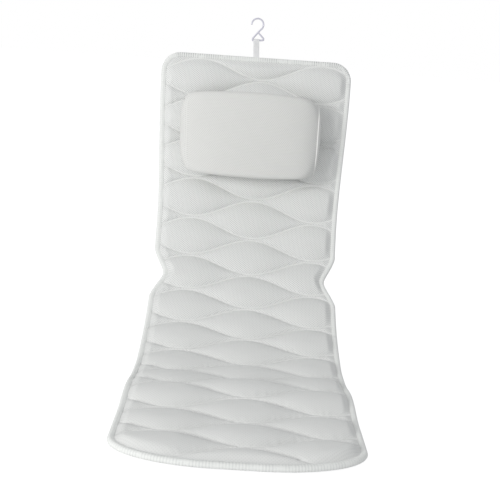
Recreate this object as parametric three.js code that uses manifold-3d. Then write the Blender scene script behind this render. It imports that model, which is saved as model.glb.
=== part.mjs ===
// Full-body bath mat with a raised head pillow, lying as it does in a tub: back up, seat sloping, legs flat.
// Millimetres and degrees. +Z is up, +Y points from the feet to the head, +X across the mat.
// The origin is on the tub floor, under the middle suction cup of the seat.
// A place on the mat is given as (across, along, above): along runs down the mat from its top edge,
// and above is the height over the underside of the backing.

import * as THREE from "three";
import { mergeVertices } from "three/addons/utils/BufferGeometryUtils.js";
import Module from "manifold-3d";

const wasm = await Module();
wasm.setup();

// The mat as it is cut flat
const matLength = 1180;
const matWidth = 400;
const cornerRadius = 42;
const footRoundingWidth = 170;
const footRoundingLength = 75;
const waistFoldAt = 500;
const kneeFoldAt = 860;
const notchDepth = 24;
const notchLength = 122;
const notchShift = 3;
const notchRoundingShare = 0.09;
const notchEaseShare = 1.3;
const topWidening = 12;
const topWideningLength = 340;
const footWidening = 6;

// How the mat lies in the tub
const backSlope = 77;
const floorAt = 785;
const slopeShares = [
  [0, 1], [0.39, 1], [0.51, 0.9], [0.64, 0.57],
  [0.76, 0.45], [0.87, 0.27], [0.95, 0.2], [1, 0],
];
const kneeRise = 11;
const kneeRiseLength = 190;
const kneeRiseStart = 820;

// Layers of the mat, from the underside up
const clearance = 0.3;
const layerGap = 0.4;
const backingThickness = 1.5;
const fillingThickness = 6;
const skinThickness = 2;
const quiltCrown = 12;
const bindingWidth = 11;
const bindingThickness = 10.5;
const quiltEdgeGap = 1.5;

// Wavy quilting seams, which meet and part so that each pair holds a row of leaves
const seamCount = 26;
const firstSeam = 31;
const lastSeamMargin = 36.5;
const seamWave = 19.5;
const waveLength = 268;
const patternShift = 11;
const edgeTaper = 22;
const foldTaper = 16;
const bandShares = [0, 0.3, 0.7];

// Folds between the three sections
const foldLimit = 65;
const foldBeadRadius = 1.6;

// Suction cups, drawn pressed flat as they stand in the tub
const cupRadius = 18;
const cupHeight = 8;
const cupLip = 0.8;
const neckRadius = 3;
const buttonRadius = 5.5;
const buttonHeight = 1.5;
const cupSideInset = 70;
const backCupFromTop = 62;
const backCupSpacing = 205;
const legCupFromFoot = 72;
const legCupSpacing = 80;

// Head pillow
const pillowWidth = 284;
const pillowHeight = 184;
const pillowDepth = 80;
const pillowFromTop = 178;
const pillowWall = 1.5;
const pillowInnerGap = 0.7;
const pillowBulge = 8;
const pipingRadius = 2.4;
const roundnessShare = 0.58;
const crownDropShare = 0.13;
const drawnInShare = 0.08;
const endDropShare = 0.075;

// Hook-and-loop strips between the pillow and the mat
const stripWidth = 25;
const stripLength = 200;
const stripThickness = 1.5;
const stripSpacing = 84;
const stripSeat = 19;

// Hanging strap and hook
const strapWidth = 13;
const strapLength = 34;
const strapThickness = 1.3;
const strapBaseRadius = 2.2;
const strapTilt = 3.6;
const strapShift = -3.3;
const wireRadius = 1.8;
const bailHalfWidth = 12;
const bailPost = 4;
const neckHeight = 17;
const hookRadius = 13;
const hookCentreHeight = 34;
const hookCentreShift = -1;
const hookShift = 3.7;
const hookStart = -48;
const hookEnd = 183;

// How finely curved shapes are divided
const rowStep = 18;
const profileSteps = 400;
const cornerSteps = 6;
const notchSteps = 10;
const quiltColumns = 18;
const cupSides = 10;
const wireSides = 8;
const sectionSteps = 20;
const pillowStations = 8;
const weld = 1e-4;

const degrees = Math.PI / 180;
const seamPitch = (matLength - firstSeam - lastSeamMargin) / (seamCount - 1);
const fillingBase = backingThickness + layerGap;
const quiltBase = fillingBase + fillingThickness + layerGap;
const layerInset = bindingWidth + clearance;
const quiltInset = bindingWidth + quiltEdgeGap;
const foldAxisHeight = backingThickness / 2;
const seatCupAt = floorAt + cupRadius;
const loopStripBase = stripSeat + clearance;
const hookStripBase = loopStripBase + stripThickness + clearance;
const pillowBase = hookStripBase + stripThickness + clearance;

const finishes = {
  mesh: { color: 0xe9ecec, roughness: 0.85, metalness: 0 },
  pillowMesh: { color: 0xedf0f0, roughness: 0.8, metalness: 0 },
  binding: { color: 0xf1f3f3, roughness: 0.75, metalness: 0 },
  filling: { color: 0xf4f4f0, roughness: 0.95, metalness: 0 },
  foam: { color: 0xf3f1e6, roughness: 0.95, metalness: 0 },
  strip: { color: 0xeeeeee, roughness: 0.9, metalness: 0 },
  cup: { color: 0xdfe5e6, roughness: 0.25, metalness: 0 },
  hook: { color: 0xe6e4ee, roughness: 0.35, metalness: 0 },
};

// Reads a table of [share, value] pairs between its points.
function valueAt(table, share) {
  const last = table.length - 1;
  const next = Math.min(Math.max(table.findIndex(([at]) => at >= share), 1), last);
  const [from, low] = table[next - 1];
  const [to, high] = table[share >= 1 ? last : next];
  if (to === from) return high;
  return low + (high - low) * Math.min(Math.max((share - from) / (to - from), 0), 1);
}

// Eases from 0 to 1.
function smooth(share) {
  const held = Math.min(Math.max(share, 0), 1);
  return held * held * (3 - 2 * held);
}

// Slope of the mat in radians, positive where it runs down towards the feet.
function slopeAt(along) {
  const share = Math.max(along, 0) / floorAt;
  const base = share >= 1 ? 0 : backSlope * degrees * valueAt(slopeShares, share);
  const turn = (along - kneeRiseStart) / kneeRiseLength;
  if (turn <= 0 || turn >= 1) return base;
  return base - Math.atan((kneeRise * Math.PI / kneeRiseLength) * Math.sin(2 * Math.PI * turn));
}

// Side view of the backing's underside, worked out by adding up short steps along the slope.
function makeProfile() {
  const step = matLength / profileSteps;
  const points = [[0, 0]];
  for (let i = 0; i < profileSteps; i++) {
    const slope = slopeAt((i + 0.5) * step);
    const [back, up] = points[i];
    points.push([back - step * Math.cos(slope), up - step * Math.sin(slope)]);
  }
  return { step, points };
}

const profile = makeProfile();

// The profile's own place at a length along the mat, straight on past both ends.
function onProfile(along) {
  const index = Math.min(Math.max(Math.floor(along / profile.step), 0), profileSteps - 1);
  const share = along / profile.step - index;
  const [from, to] = [profile.points[index], profile.points[index + 1]];
  return [from[0] + (to[0] - from[0]) * share, from[1] + (to[1] - from[1]) * share];
}

const profileOrigin = onProfile(seatCupAt);

// A place on the mat as a point in space.
function place(across, along, above) {
  const [back, up] = onProfile(along);
  const slope = slopeAt(along);
  return [
    across,
    back - profileOrigin[0] - above * Math.sin(slope),
    up - profileOrigin[1] + cupHeight + above * Math.cos(slope),
  ];
}

// A group set on the mat: its X runs across, its Y up the mat and its Z away from it.
function groupOnMat(across, along, above) {
  const group = new THREE.Group();
  group.position.set(...place(across, along, above));
  group.rotation.x = slopeAt(along);
  return group;
}

// How far each side is drawn in at the waist: a V with a rounded tip and eased ends.
function notchAt(along) {
  const turn = Math.abs(along - waistFoldAt - notchShift) / notchLength;
  if (turn >= 0.5) return 0;
  const root = Math.hypot(turn, notchRoundingShare) - notchRoundingShare;
  const full = Math.hypot(0.5, notchRoundingShare) - notchRoundingShare;
  return notchDepth * Math.pow(1 - root / full, notchEaseShare);
}

// How much wider each side is than at the middle: the mat flares to its top and a little to its foot.
function wideningAt(along) {
  const up = (along - cornerRadius) / topWideningLength;
  const down = (matLength - cornerRadius - along) / (matLength - waistFoldAt - notchLength / 2);
  return topWidening * (1 - smooth(up)) + footWidening * (1 - smooth(down));
}

// How far a corner reaches across and along: a quarter circle at the top, a long quarter ellipse at the foot.
function cornerReach(atTop, inset) {
  const [wide, long] = atTop ? [cornerRadius, cornerRadius] : [footRoundingWidth, footRoundingLength];
  return [wide - inset, long - inset];
}

// Half the mat's width at a length along it, drawn in by an inset all round.
function halfWidthAt(along, inset) {
  const straight = matWidth / 2 + wideningAt(along) - inset - notchAt(along);
  const atTop = along < waistFoldAt;
  const [wide, long] = cornerReach(atTop, inset);
  const fromEnd = (atTop ? along : matLength - along) - inset;
  if (fromEnd >= long) return straight;
  const short = 1 - Math.max(fromEnd, 0) / long;
  return straight - wide + wide * Math.sqrt(Math.max(1 - short * short, 0));
}

// Distance from a place on the mat to its outline at that inset, by the slope of the corner's own ellipse.
function edgeDistance(across, along, inset) {
  const atTop = along < waistFoldAt;
  const [wide, long] = cornerReach(atTop, inset);
  const side = matWidth / 2 + wideningAt(along) - inset - notchAt(along) - Math.abs(across);
  const end = (atTop ? along : matLength - along) - inset;
  const inward = [1 - side / wide, 1 - end / long];
  if (inward[0] <= 0 || inward[1] <= 0) return Math.min(side, end);
  const radius = Math.hypot(...inward);
  return ((1 - radius) * radius) / Math.hypot(inward[0] / wide, inward[1] / long);
}

// Angles that divide a rounded corner.
function cornerAngles() {
  return Array.from({ length: cornerSteps + 1 }, (_, i) => (i / cornerSteps) * (Math.PI / 2));
}

// Whether a length along the mat lies in its rounded corners.
function inCorner(along) {
  return along < cornerRadius || matLength - along < footRoundingLength;
}

// Lengths along the mat at which a plain layer has its rows, closer together in the rounded corners.
function stations(start, end, inset) {
  const rounded = (atTop) => cornerAngles().map((angle) => {
    return inset + cornerReach(atTop, inset)[1] * (1 - Math.cos(angle));
  });
  const regular = Array.from({ length: Math.ceil(matLength / rowStep) }, (_, i) => i * rowStep);
  const inNotch = (row) => Math.abs(row - waistFoldAt - notchShift) <= notchLength / 2;
  const plain = regular.filter((row) => !inCorner(row) && !inNotch(row));
  const notch = Array.from({ length: notchSteps + 1 }, (_, i) => {
    return waistFoldAt + notchShift + notchLength * (i / notchSteps - 0.5);
  });
  const bindingEnds = [waistFoldAt, kneeFoldAt].flatMap((fold) => {
    return [fold - setback(bindingThickness), fold + setback(bindingThickness)];
  });
  const cornerRows = [...rounded(true), ...rounded(false).map((row) => matLength - row)];
  const all = [start, end, ...plain, ...notch, ...bindingEnds, ...cornerRows];
  const inside = all.filter((row) => row >= start && row <= end).sort((a, b) => a - b);
  return inside.filter((row, i) => i === 0 || row - inside[i - 1] > weld);
}

// How far a layer stays back from a fold, so that it clears its neighbour when the fold closes.
function setback(top) {
  return (top - foldAxisHeight) * Math.tan((foldLimit / 2) * degrees) + clearance;
}

// A closed mesh from points and triangles: doubles merged, collapsed faces dropped, faces turned out.
function closedGeometry(points, triangles) {
  const loose = new THREE.BufferGeometry();
  loose.setAttribute("position", new THREE.Float32BufferAttribute(points.flat(), 3));
  loose.setIndex(triangles.flat());
  const merged = mergeVertices(loose, weld);
  const ids = merged.index.array;
  const kept = [];
  for (let i = 0; i < ids.length; i += 3) {
    const [a, b, c] = [ids[i], ids[i + 1], ids[i + 2]];
    if (a !== b && b !== c && a !== c) kept.push([a, b, c]);
  }
  const out = signedVolume(merged, kept) > 0 ? kept : kept.map(([a, b, c]) => [a, c, b]);
  merged.setIndex(out.flat());
  return merged;
}

// The volume that triangles enclose, negative if they face inwards.
function signedVolume(geometry, triangles) {
  const corner = (id) => new THREE.Vector3().fromBufferAttribute(geometry.attributes.position, id);
  return triangles.reduce((sum, [a, b, c]) => sum + corner(a).dot(corner(b).cross(corner(c))) / 6, 0);
}

// Quads between two neighbouring runs of points, as triangles.
function band(first, second, count) {
  const triangles = [];
  for (let i = 0; i + 1 < count; i++) {
    triangles.push([first + i, second + i, second + i + 1], [first + i, second + i + 1, first + i + 1]);
  }
  return triangles;
}

// A closed slab from rows of top points and, for each row, its two bottom points at the sides.
function slab(topRows, bottomRows) {
  const points = [...topRows.flat(), ...bottomRows.flat()];
  const width = topRows[0].length;
  const under = topRows.length * width;
  const triangles = [];
  for (let row = 0; row + 1 < topRows.length; row++) {
    const top = row * width;
    const low = under + row * 2;
    triangles.push(...band(top, top + width, width));
    triangles.push(...band(low + 2, low, 2));
    triangles.push([top, low, low + 2], [top, low + 2, top + width]);
    triangles.push([top + width - 1, low + 3, low + 1], [top + width - 1, top + 2 * width - 1, low + 3]);
  }
  triangles.push(...slabEnd(0, under, width, false));
  triangles.push(...slabEnd((topRows.length - 1) * width, under + (topRows.length - 1) * 2, width, true));
  return closedGeometry(points, triangles);
}

// The end of a slab: a fan from one bottom corner over the top row.
function slabEnd(top, low, width, last) {
  const triangles = [];
  for (let i = 0; i + 1 < width; i++) triangles.push([low, top + i, top + i + 1]);
  triangles.push([low, top + width - 1, low + 1]);
  return last ? triangles.map(([a, b, c]) => [a, c, b]) : triangles;
}

// A plain layer of one thickness over a stretch of the mat.
function layer(start, end, base, thickness) {
  const rows = stations(start, end, layerInset);
  const edge = (row, above) => {
    const half = halfWidthAt(row, layerInset);
    return [place(-half, row, above), place(half, row, above)];
  };
  return slab(rows.map((row) => edge(row, base + thickness)), rows.map((row) => edge(row, base)));
}

// Where a seam lies at a place across the mat. Odd seams wave the other way.
function seamAt(index, across) {
  const sign = index % 2 === 0 ? 1 : -1;
  const wave = sign * seamWave * Math.cos((2 * Math.PI * (across - patternShift)) / waveLength);
  return firstSeam + index * seamPitch + wave;
}

// The edges of a quilted band at a place across the mat: a seam each side, or the mat's own end.
function bandEdges(index, across) {
  const low = index === 0 ? quiltInset : seamAt(index - 1, across);
  const high = index === seamCount ? matLength - quiltInset : seamAt(index, across);
  return [Math.max(low, quiltInset), Math.min(high, matLength - quiltInset)];
}

// Height of the quilt's face: each leaf swells between its seams and thins out at the edges and folds.
function quiltTop(across, along, start, end) {
  let swell = 0;
  for (let index = 0; index <= seamCount; index++) {
    const [low, high] = bandEdges(index, across);
    if (along < low || along > high || high - low < weld) continue;
    const share = (along - low) / (high - low);
    const fullness = Math.sqrt(Math.min((high - low) / (seamPitch + 2 * seamWave), 1));
    swell = Math.max(swell, fullness * Math.pow(4 * share * (1 - share), 0.6));
  }
  const edge = edgeDistance(across, along, quiltInset);
  const folds = [
    start > quiltInset ? (along - start) / foldTaper : 1,
    end < matLength - quiltInset ? (end - along) / foldTaper : 1,
  ];
  const taper = smooth(Math.min(edge / edgeTaper, ...folds));
  return quiltBase + skinThickness + quiltCrown * swell * taper;
}

// A row of places that follows a line across the mat, held between the section's ends.
function quiltRow(line, start, end) {
  const places = [];
  for (let column = 0; column <= quiltColumns; column++) {
    const share = (2 * column) / quiltColumns - 1;
    let along = start;
    let across = 0;
    for (let round = 0; round < 4; round++) {
      across = share * halfWidthAt(along, quiltInset);
      along = Math.min(Math.max(line(across), start), end);
    }
    across = share * halfWidthAt(along, quiltInset);
    places.push([across, along]);
  }
  return places;
}

// Every row of a quilted section: its two ends, its seams and the swell between them.
function quiltRows(start, end) {
  const rows = [quiltRow(() => start, start, end)];
  for (let index = 0; index <= seamCount; index++) {
    for (const share of bandShares) {
      const line = (across) => {
        const [low, high] = bandEdges(index, across);
        return low + share * (high - low);
      };
      const row = quiltRow(line, start, end);
      if (row.some(([, along]) => along > start + weld && along < end - weld)) rows.push(row);
    }
  }
  rows.push(quiltRow(() => end, start, end));
  return rows;
}

// The quilted face of one section.
function quilt(start, end) {
  const rows = quiltRows(start, end);
  const top = rows.map((row) => row.map(([across, along]) => {
    return place(across, along, quiltTop(across, along, start, end));
  }));
  const bottom = rows.map((row) => [row[0], row[row.length - 1]].map(([across, along]) => {
    return place(across, along, quiltBase);
  }));
  return slab(top, bottom);
}

// A mesh as a solid that can be joined and cut.
function toManifold(geometry) {
  const bare = geometry.clone();
  const extras = Object.keys(bare.attributes).filter((name) => name !== "position");
  extras.forEach((name) => bare.deleteAttribute(name));
  const merged = mergeVertices(bare, weld);
  return new wasm.Manifold(new wasm.Mesh({
    numProp: 3,
    vertProperties: new Float32Array(merged.attributes.position.array),
    triVerts: new Uint32Array(merged.index.array),
  }));
}

// A joined or cut solid back as a mesh.
function toGeometry(solid) {
  const mesh = solid.getMesh();
  const geometry = new THREE.BufferGeometry();
  geometry.setAttribute("position", new THREE.BufferAttribute(new Float32Array(mesh.vertProperties), 3));
  geometry.setIndex(new THREE.BufferAttribute(new Uint32Array(mesh.triVerts), 1));
  return geometry;
}

// Cuts a list of tool shapes out of a shape.
function cut(geometry, tools) {
  return toGeometry(tools.reduce((left, tool) => left.subtract(toManifold(tool)), toManifold(geometry)));
}

// Joins shapes that overlap into one.
function join(shapes) {
  return toGeometry(shapes.map(toManifold).reduce((whole, shape) => whole.add(shape)));
}

// A cylinder along Z, standing on a height.
function post(radius, base, height, sides) {
  const geometry = new THREE.CylinderGeometry(radius, radius, height, sides);
  geometry.rotateX(Math.PI / 2);
  geometry.translate(0, 0, base + height / 2);
  return geometry;
}

// Moves a shape into the place that a group on the mat has.
function movedTo(geometry, group) {
  group.updateMatrix();
  return geometry.clone().applyMatrix4(group.matrix);
}

function meshOf(name, geometry, finish) {
  const mesh = new THREE.Mesh(geometry, new THREE.MeshStandardMaterial(finishes[finish]));
  mesh.name = name;
  mesh.geometry.computeVertexNormals();
  return mesh;
}

// Where the cups of each section stand, as [across, along].
function cupPlaces() {
  const side = matWidth / 2 - cupSideInset;
  const pair = (along) => [[-side, along], [side, along]];
  return {
    back: [...pair(backCupFromTop), ...pair(backCupFromTop + backCupSpacing)],
    seat: [[-side, seatCupAt], [0, seatCupAt], [side, seatCupAt]],
    leg: [...pair(matLength - legCupFromFoot - legCupSpacing), ...pair(matLength - legCupFromFoot)],
  };
}

// A suction cup: flat foot, sloping skirt, neck through the backing and a button that holds it there.
function cupGeometry() {
  const button = backingThickness + clearance;
  const outline = [
    [0, -cupHeight],
    [cupRadius, -cupHeight],
    [cupRadius, cupLip - cupHeight],
    [neckRadius * 2, -cupHeight / 2],
    [neckRadius, -cupHeight / 2 + cupLip],
    [neckRadius, button],
    [buttonRadius, button],
    [buttonRadius, button + buttonHeight],
    [0, button + buttonHeight],
  ].map(([radius, height]) => new THREE.Vector2(radius, height));
  const geometry = new THREE.LatheGeometry(outline, cupSides);
  geometry.rotateX(Math.PI / 2);
  return closedGeometry(pointsOf(geometry), trianglesOf(geometry));
}

function pointsOf(geometry) {
  const position = geometry.attributes.position;
  return Array.from({ length: position.count }, (_, i) => {
    return [position.getX(i), position.getY(i), position.getZ(i)];
  });
}

function trianglesOf(geometry) {
  const ids = geometry.index ? geometry.index.array : geometry.attributes.position.array.map((_, i) => i);
  const count = geometry.index ? ids.length / 3 : geometry.attributes.position.count / 3;
  return Array.from({ length: count }, (_, i) => [ids[3 * i], ids[3 * i + 1], ids[3 * i + 2]]);
}

// The cups of one section, each in its own group on the mat.
function cups(section) {
  return cupPlaces()[section].map(([across, along], i) => {
    const group = groupOnMat(across, along, 0);
    group.add(meshOf(`${section}_cup_${i + 1}`, cupGeometry(), "cup"));
    return group;
  });
}

// The holes that a section's cups need in its layers: the neck's in the backing, the button's in the filling.
function cupHoles(section, radius, base, height) {
  return cupPlaces()[section].map(([across, along]) => {
    return movedTo(post(radius + clearance, base - clearance, height + 2 * clearance, cupSides),
      groupOnMat(across, along, 0));
  });
}

// The backing of a section, with a rolled bead at each fold that it carries.
function backing(section, start, end, beads) {
  const holes = cupHoles(section, neckRadius, 0, backingThickness);
  const sheet = cut(layer(start, end, 0, backingThickness), holes);
  const rolls = beads.map((along) => {
    const half = halfWidthAt(along, layerInset);
    const roll = new THREE.CylinderGeometry(foldBeadRadius, foldBeadRadius, 2 * half, wireSides);
    roll.rotateZ(Math.PI / 2);
    return movedTo(roll, groupOnMat(0, along, foldAxisHeight));
  });
  return rolls.length ? join([sheet, ...rolls]) : sheet;
}

function filling(section, start, end) {
  const holes = cupHoles(section, buttonRadius, fillingBase, fillingThickness);
  return cut(layer(start, end, fillingBase, fillingThickness), holes);
}

// The binding's outline as stations with a place and the direction that points out of the mat.
function bindingSide(sign, start, end) {
  const rows = stations(start, end, 0).filter((row) => !inCorner(row));
  return rows.map((along) => ({ across: sign * halfWidthAt(along, 0), along, out: [sign, 0] }));
}

function bindingCorner(sign, atTop) {
  const [wide, long] = cornerReach(atTop, 0);
  const centreAlong = atTop ? long : matLength - long;
  return cornerAngles().map((angle) => {
    const out = [sign * Math.cos(angle), (atTop ? -1 : 1) * Math.sin(angle)];
    return {
      across: sign * (matWidth / 2 + wideningAt(centreAlong) - wide) + wide * out[0],
      along: centreAlong + long * out[1],
      out,
    };
  });
}

// A folded tape's rounded section carried along an outline, closed at both ends.
function bindingGeometry(path) {
  const section = [[1, 0], [0.25, 0], [0, 0.3], [0, 0.7], [0.25, 1], [1, 1]];
  const rings = path.map(({ across, along, out }) => section.map(([widthShare, heightShare]) => {
    const inset = bindingWidth * widthShare;
    return place(across - inset * out[0], along - inset * out[1], bindingThickness * heightShare);
  }));
  return sweep(rings, false);
}

// Joins rings of points into a closed body, as a loop or with a flat fan at each end.
function sweep(rings, loop) {
  const size = rings[0].length;
  const points = rings.flat();
  const triangles = [];
  const steps = loop ? rings.length : rings.length - 1;
  for (let ring = 0; ring < steps; ring++) {
    const from = ring * size;
    const to = ((ring + 1) % rings.length) * size;
    for (let i = 0; i < size; i++) {
      const next = (i + 1) % size;
      triangles.push([from + i, to + i, to + next], [from + i, to + next, from + next]);
    }
  }
  if (!loop) {
    const last = (rings.length - 1) * size;
    for (let i = 1; i + 1 < size; i++) {
      triangles.push([0, i, i + 1], [last, last + i + 1, last + i]);
    }
  }
  return closedGeometry(points, triangles);
}

// One strip of the touch fastening, flat on the mat.
function strip(name, along, base) {
  const group = groupOnMat(0, along, base);
  const geometry = new THREE.BoxGeometry(stripLength, stripWidth, stripThickness);
  geometry.translate(0, 0, stripThickness / 2);
  group.add(meshOf(name, geometry, "strip"));
  return group;
}

// Lengths along the mat at which the two strips lie.
function stripPlaces() {
  return [pillowFromTop - stripSpacing / 2, pillowFromTop + stripSpacing / 2];
}

// The flat seats that the strips need on the crowned quilt.
function stripSeats() {
  const seat = new THREE.BoxGeometry(stripLength + 2 * clearance, stripWidth + 2 * clearance, quiltCrown);
  seat.translate(0, 0, quiltCrown / 2);
  return stripPlaces().map((along) => movedTo(seat, groupOnMat(0, along, stripSeat)));
}

function backSection() {
  const group = new THREE.Group();
  const filledEnd = waistFoldAt - setback(fillingBase + fillingThickness);
  const quiltEnd = waistFoldAt - setback(quiltBase + skinThickness);
  const bindingEnd = waistFoldAt - setback(bindingThickness);
  const sheetEnd = waistFoldAt - foldBeadRadius - clearance;
  const outline = [
    ...bindingSide(-1, 0, bindingEnd).reverse(),
    ...bindingCorner(-1, true),
    ...bindingCorner(1, true).reverse(),
    ...bindingSide(1, 0, bindingEnd),
  ];
  group.add(
    meshOf("back_quilt", cut(quilt(quiltInset, quiltEnd), stripSeats()), "mesh"),
    meshOf("back_filling", filling("back", layerInset, filledEnd), "filling"),
    meshOf("back_backing", backing("back", layerInset, sheetEnd, []), "mesh"),
    meshOf("back_binding", bindingGeometry(outline), "binding"),
    ...cups("back"),
    strip("loop_strip_upper", stripPlaces()[0], loopStripBase),
    strip("loop_strip_lower", stripPlaces()[1], loopStripBase),
  );
  return group;
}

function seatSection() {
  const group = new THREE.Group();
  const stretch = (top) => [waistFoldAt + setback(top), kneeFoldAt - setback(top)];
  const sides = stretch(bindingThickness);
  group.add(
    meshOf("seat_quilt", quilt(...stretch(quiltBase + skinThickness)), "mesh"),
    meshOf("seat_filling", filling("seat", ...stretch(fillingBase + fillingThickness)), "filling"),
    meshOf("seat_backing", backing("seat", waistFoldAt, kneeFoldAt, [waistFoldAt, kneeFoldAt]), "mesh"),
    meshOf("seat_binding_left", bindingGeometry(bindingSide(-1, ...sides)), "binding"),
    meshOf("seat_binding_right", bindingGeometry(bindingSide(1, ...sides)), "binding"),
    ...cups("seat"),
  );
  return group;
}

function legSection() {
  const group = new THREE.Group();
  const filledStart = kneeFoldAt + setback(fillingBase + fillingThickness);
  const quiltStart = kneeFoldAt + setback(quiltBase + skinThickness);
  const bindingStart = kneeFoldAt + setback(bindingThickness);
  const sheetStart = kneeFoldAt + foldBeadRadius + clearance;
  const outline = [
    ...bindingSide(-1, bindingStart, matLength),
    ...bindingCorner(-1, false),
    ...bindingCorner(1, false).reverse(),
    ...bindingSide(1, bindingStart, matLength).reverse(),
  ];
  group.add(
    meshOf("leg_quilt", quilt(quiltStart, matLength - quiltInset), "mesh"),
    meshOf("leg_filling", filling("leg", filledStart, matLength - layerInset), "filling"),
    meshOf("leg_backing", backing("leg", sheetStart, matLength - layerInset, []), "mesh"),
    meshOf("leg_binding", bindingGeometry(outline), "binding"),
    ...cups("leg"),
  );
  return group;
}

// Half the height and the depth of the pillow, which fall away towards its ends and round off at its corners.
function pillowReach(fallen) {
  const corner = endDropShare * Math.pow(fallen, 5);
  return [
    (pillowHeight / 2) * (1 - drawnInShare * fallen - corner),
    pillowDepth * (1 - crownDropShare * fallen - corner),
  ];
}

// The pillow's section across its thickness, a crowned D, drawn in by an offset. The back is its flat side.
// A station of 0 is the pillow's middle and 1 its end seam.
function pillowSection(station, offset) {
  const [half, depth] = pillowReach(station * station).map((length) => length - offset);
  return Array.from({ length: sectionSteps + 1 }, (_, i) => {
    const angle = (i / sectionSteps - 0.5) * Math.PI;
    const rounded = (value) => Math.sign(value) * Math.pow(Math.abs(value), roundnessShare);
    return [half * rounded(Math.sin(angle)), Math.max(depth * rounded(Math.max(Math.cos(angle), 0)), 0)];
  });
}

// The wrapped cover: front, top and bottom in one panel, open at the back and at both ends.
function pillowCover() {
  const reach = pillowWidth / 2 - pipingRadius - clearance;
  const rings = [];
  for (let i = 0; i <= pillowStations; i++) {
    const station = (2 * i) / pillowStations - 1;
    const outer = pillowSection(station, 0).map(([up, out]) => [station * reach, up, out]);
    const inner = pillowSection(station, pillowWall).map(([up, out]) => [station * reach, up, out]);
    rings.push([...outer, ...inner.reverse()]);
  }
  return sweepStrip(rings);
}

// Joins rings whose two halves are the outside and the inside of a thin wall.
function sweepStrip(rings) {
  const size = rings[0].length;
  const triangles = [];
  for (let ring = 0; ring + 1 < rings.length; ring++) {
    const from = ring * size;
    for (let i = 0; i < size; i++) {
      const next = (i + 1) % size;
      const to = from + size;
      triangles.push([from + i, to + i, to + next], [from + i, to + next, from + next]);
    }
  }
  const last = (rings.length - 1) * size;
  for (let i = 0; i + 1 < size / 2; i++) {
    const [a, b, c, d] = [i, i + 1, size - 2 - i, size - 1 - i];
    triangles.push([a, b, c], [a, c, d]);
    triangles.push([last + a, last + c, last + b], [last + a, last + d, last + c]);
  }
  return closedGeometry(rings.flat(), triangles);
}

// The foam inside, the same form inside the cover and in front of the back panel.
function pillowFoam() {
  const offset = pillowWall + pillowInnerGap;
  const reach = pillowWidth / 2 - pipingRadius - pillowInnerGap;
  const base = pillowWall + clearance;
  const stations = Array.from({ length: pillowStations + 1 }, (_, i) => (2 * i) / pillowStations - 1);
  const rings = stations.map((station) => pillowSection(station, offset).map(([up, out]) => {
    return [station * reach, up, Math.max(out, base)];
  }));
  return sweep(rings, false);
}

// The flat panel that closes the back of the cover.
function pillowBackPanel() {
  const reach = pillowWidth / 2 - pipingRadius - pillowInnerGap;
  const half = pillowReach(1)[0] - pillowWall - pillowInnerGap;
  const geometry = new THREE.BoxGeometry(2 * reach, 2 * half, pillowWall);
  geometry.translate(0, 0, pillowWall / 2);
  return geometry;
}

// An end panel, swelling outwards from its seam.
function pillowEnd(sign) {
  const seam = pillowWidth / 2 + pipingRadius + clearance;
  const middle = pillowReach(1)[1] / 2;
  const edge = pillowSection(1, pipingRadius);
  const ringShares = [[1, 0], [1, 0.25], [0.82, 0.72], [0.45, 0.96]];
  const rings = ringShares.map(([sizeShare, bulgeShare]) => edge.map(([up, out]) => {
    return [sign * (seam + pillowBulge * bulgeShare), up * sizeShare, middle + (out - middle) * sizeShare];
  }));
  return sweep(rings, false);
}

// Piping round an end seam: a round cord in a closed loop.
function pillowPiping(sign) {
  const edge = pillowSection(1, pipingRadius).map(([up, out]) => new THREE.Vector2(up, out + pipingRadius));
  const rings = edge.map((point, i) => {
    const before = edge[(i + edge.length - 1) % edge.length];
    const after = edge[(i + 1) % edge.length];
    const side = after.clone().sub(before).normalize();
    return Array.from({ length: 6 }, (_, k) => {
      const angle = (k / 6) * 2 * Math.PI;
      const away = pipingRadius * Math.cos(angle);
      return [
        sign * (pillowWidth / 2) + pipingRadius * Math.sin(angle),
        point.x - side.y * away,
        point.y + side.x * away,
      ];
    });
  });
  return sweep(rings, true);
}

function pillow() {
  const group = new THREE.Group();
  const onPanel = groupOnMat(0, pillowFromTop, pillowBase);
  onPanel.add(
    meshOf("pillow_cover", pillowCover(), "pillowMesh"),
    meshOf("pillow_foam", pillowFoam(), "foam"),
    meshOf("pillow_back_panel", pillowBackPanel(), "pillowMesh"),
    meshOf("pillow_end_left", pillowEnd(-1), "pillowMesh"),
    meshOf("pillow_end_right", pillowEnd(1), "pillowMesh"),
    meshOf("pillow_piping_left", pillowPiping(-1), "binding"),
    meshOf("pillow_piping_right", pillowPiping(1), "binding"),
  );
  group.add(
    onPanel,
    strip("hook_strip_upper", stripPlaces()[0], hookStripBase),
    strip("hook_strip_lower", stripPlaces()[1], hookStripBase),
  );
  return group;
}

// The hanging strap in side view: webbing doubled round the hook's bar and sewn together below it.
function strapGeometry() {
  const bore = wireRadius + clearance;
  const outer = bore + strapThickness;
  const shape = new THREE.Shape();
  shape.absarc(0, strapLength, outer, 0, Math.PI, false);
  shape.absarc(0, 0, strapBaseRadius, Math.PI, 2 * Math.PI, false);
  const hole = new THREE.Path();
  hole.absarc(0, strapLength, bore, 0, 2 * Math.PI, true);
  shape.holes.push(hole);
  const geometry = new THREE.ExtrudeGeometry(shape, {
    depth: strapWidth,
    bevelEnabled: false,
    curveSegments: wireSides,
  });
  geometry.translate(0, 0, -strapWidth / 2);
  geometry.rotateY(Math.PI / 2);
  geometry.rotateX(Math.PI / 2);
  return closedGeometry(pointsOf(geometry), trianglesOf(geometry));
}

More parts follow.
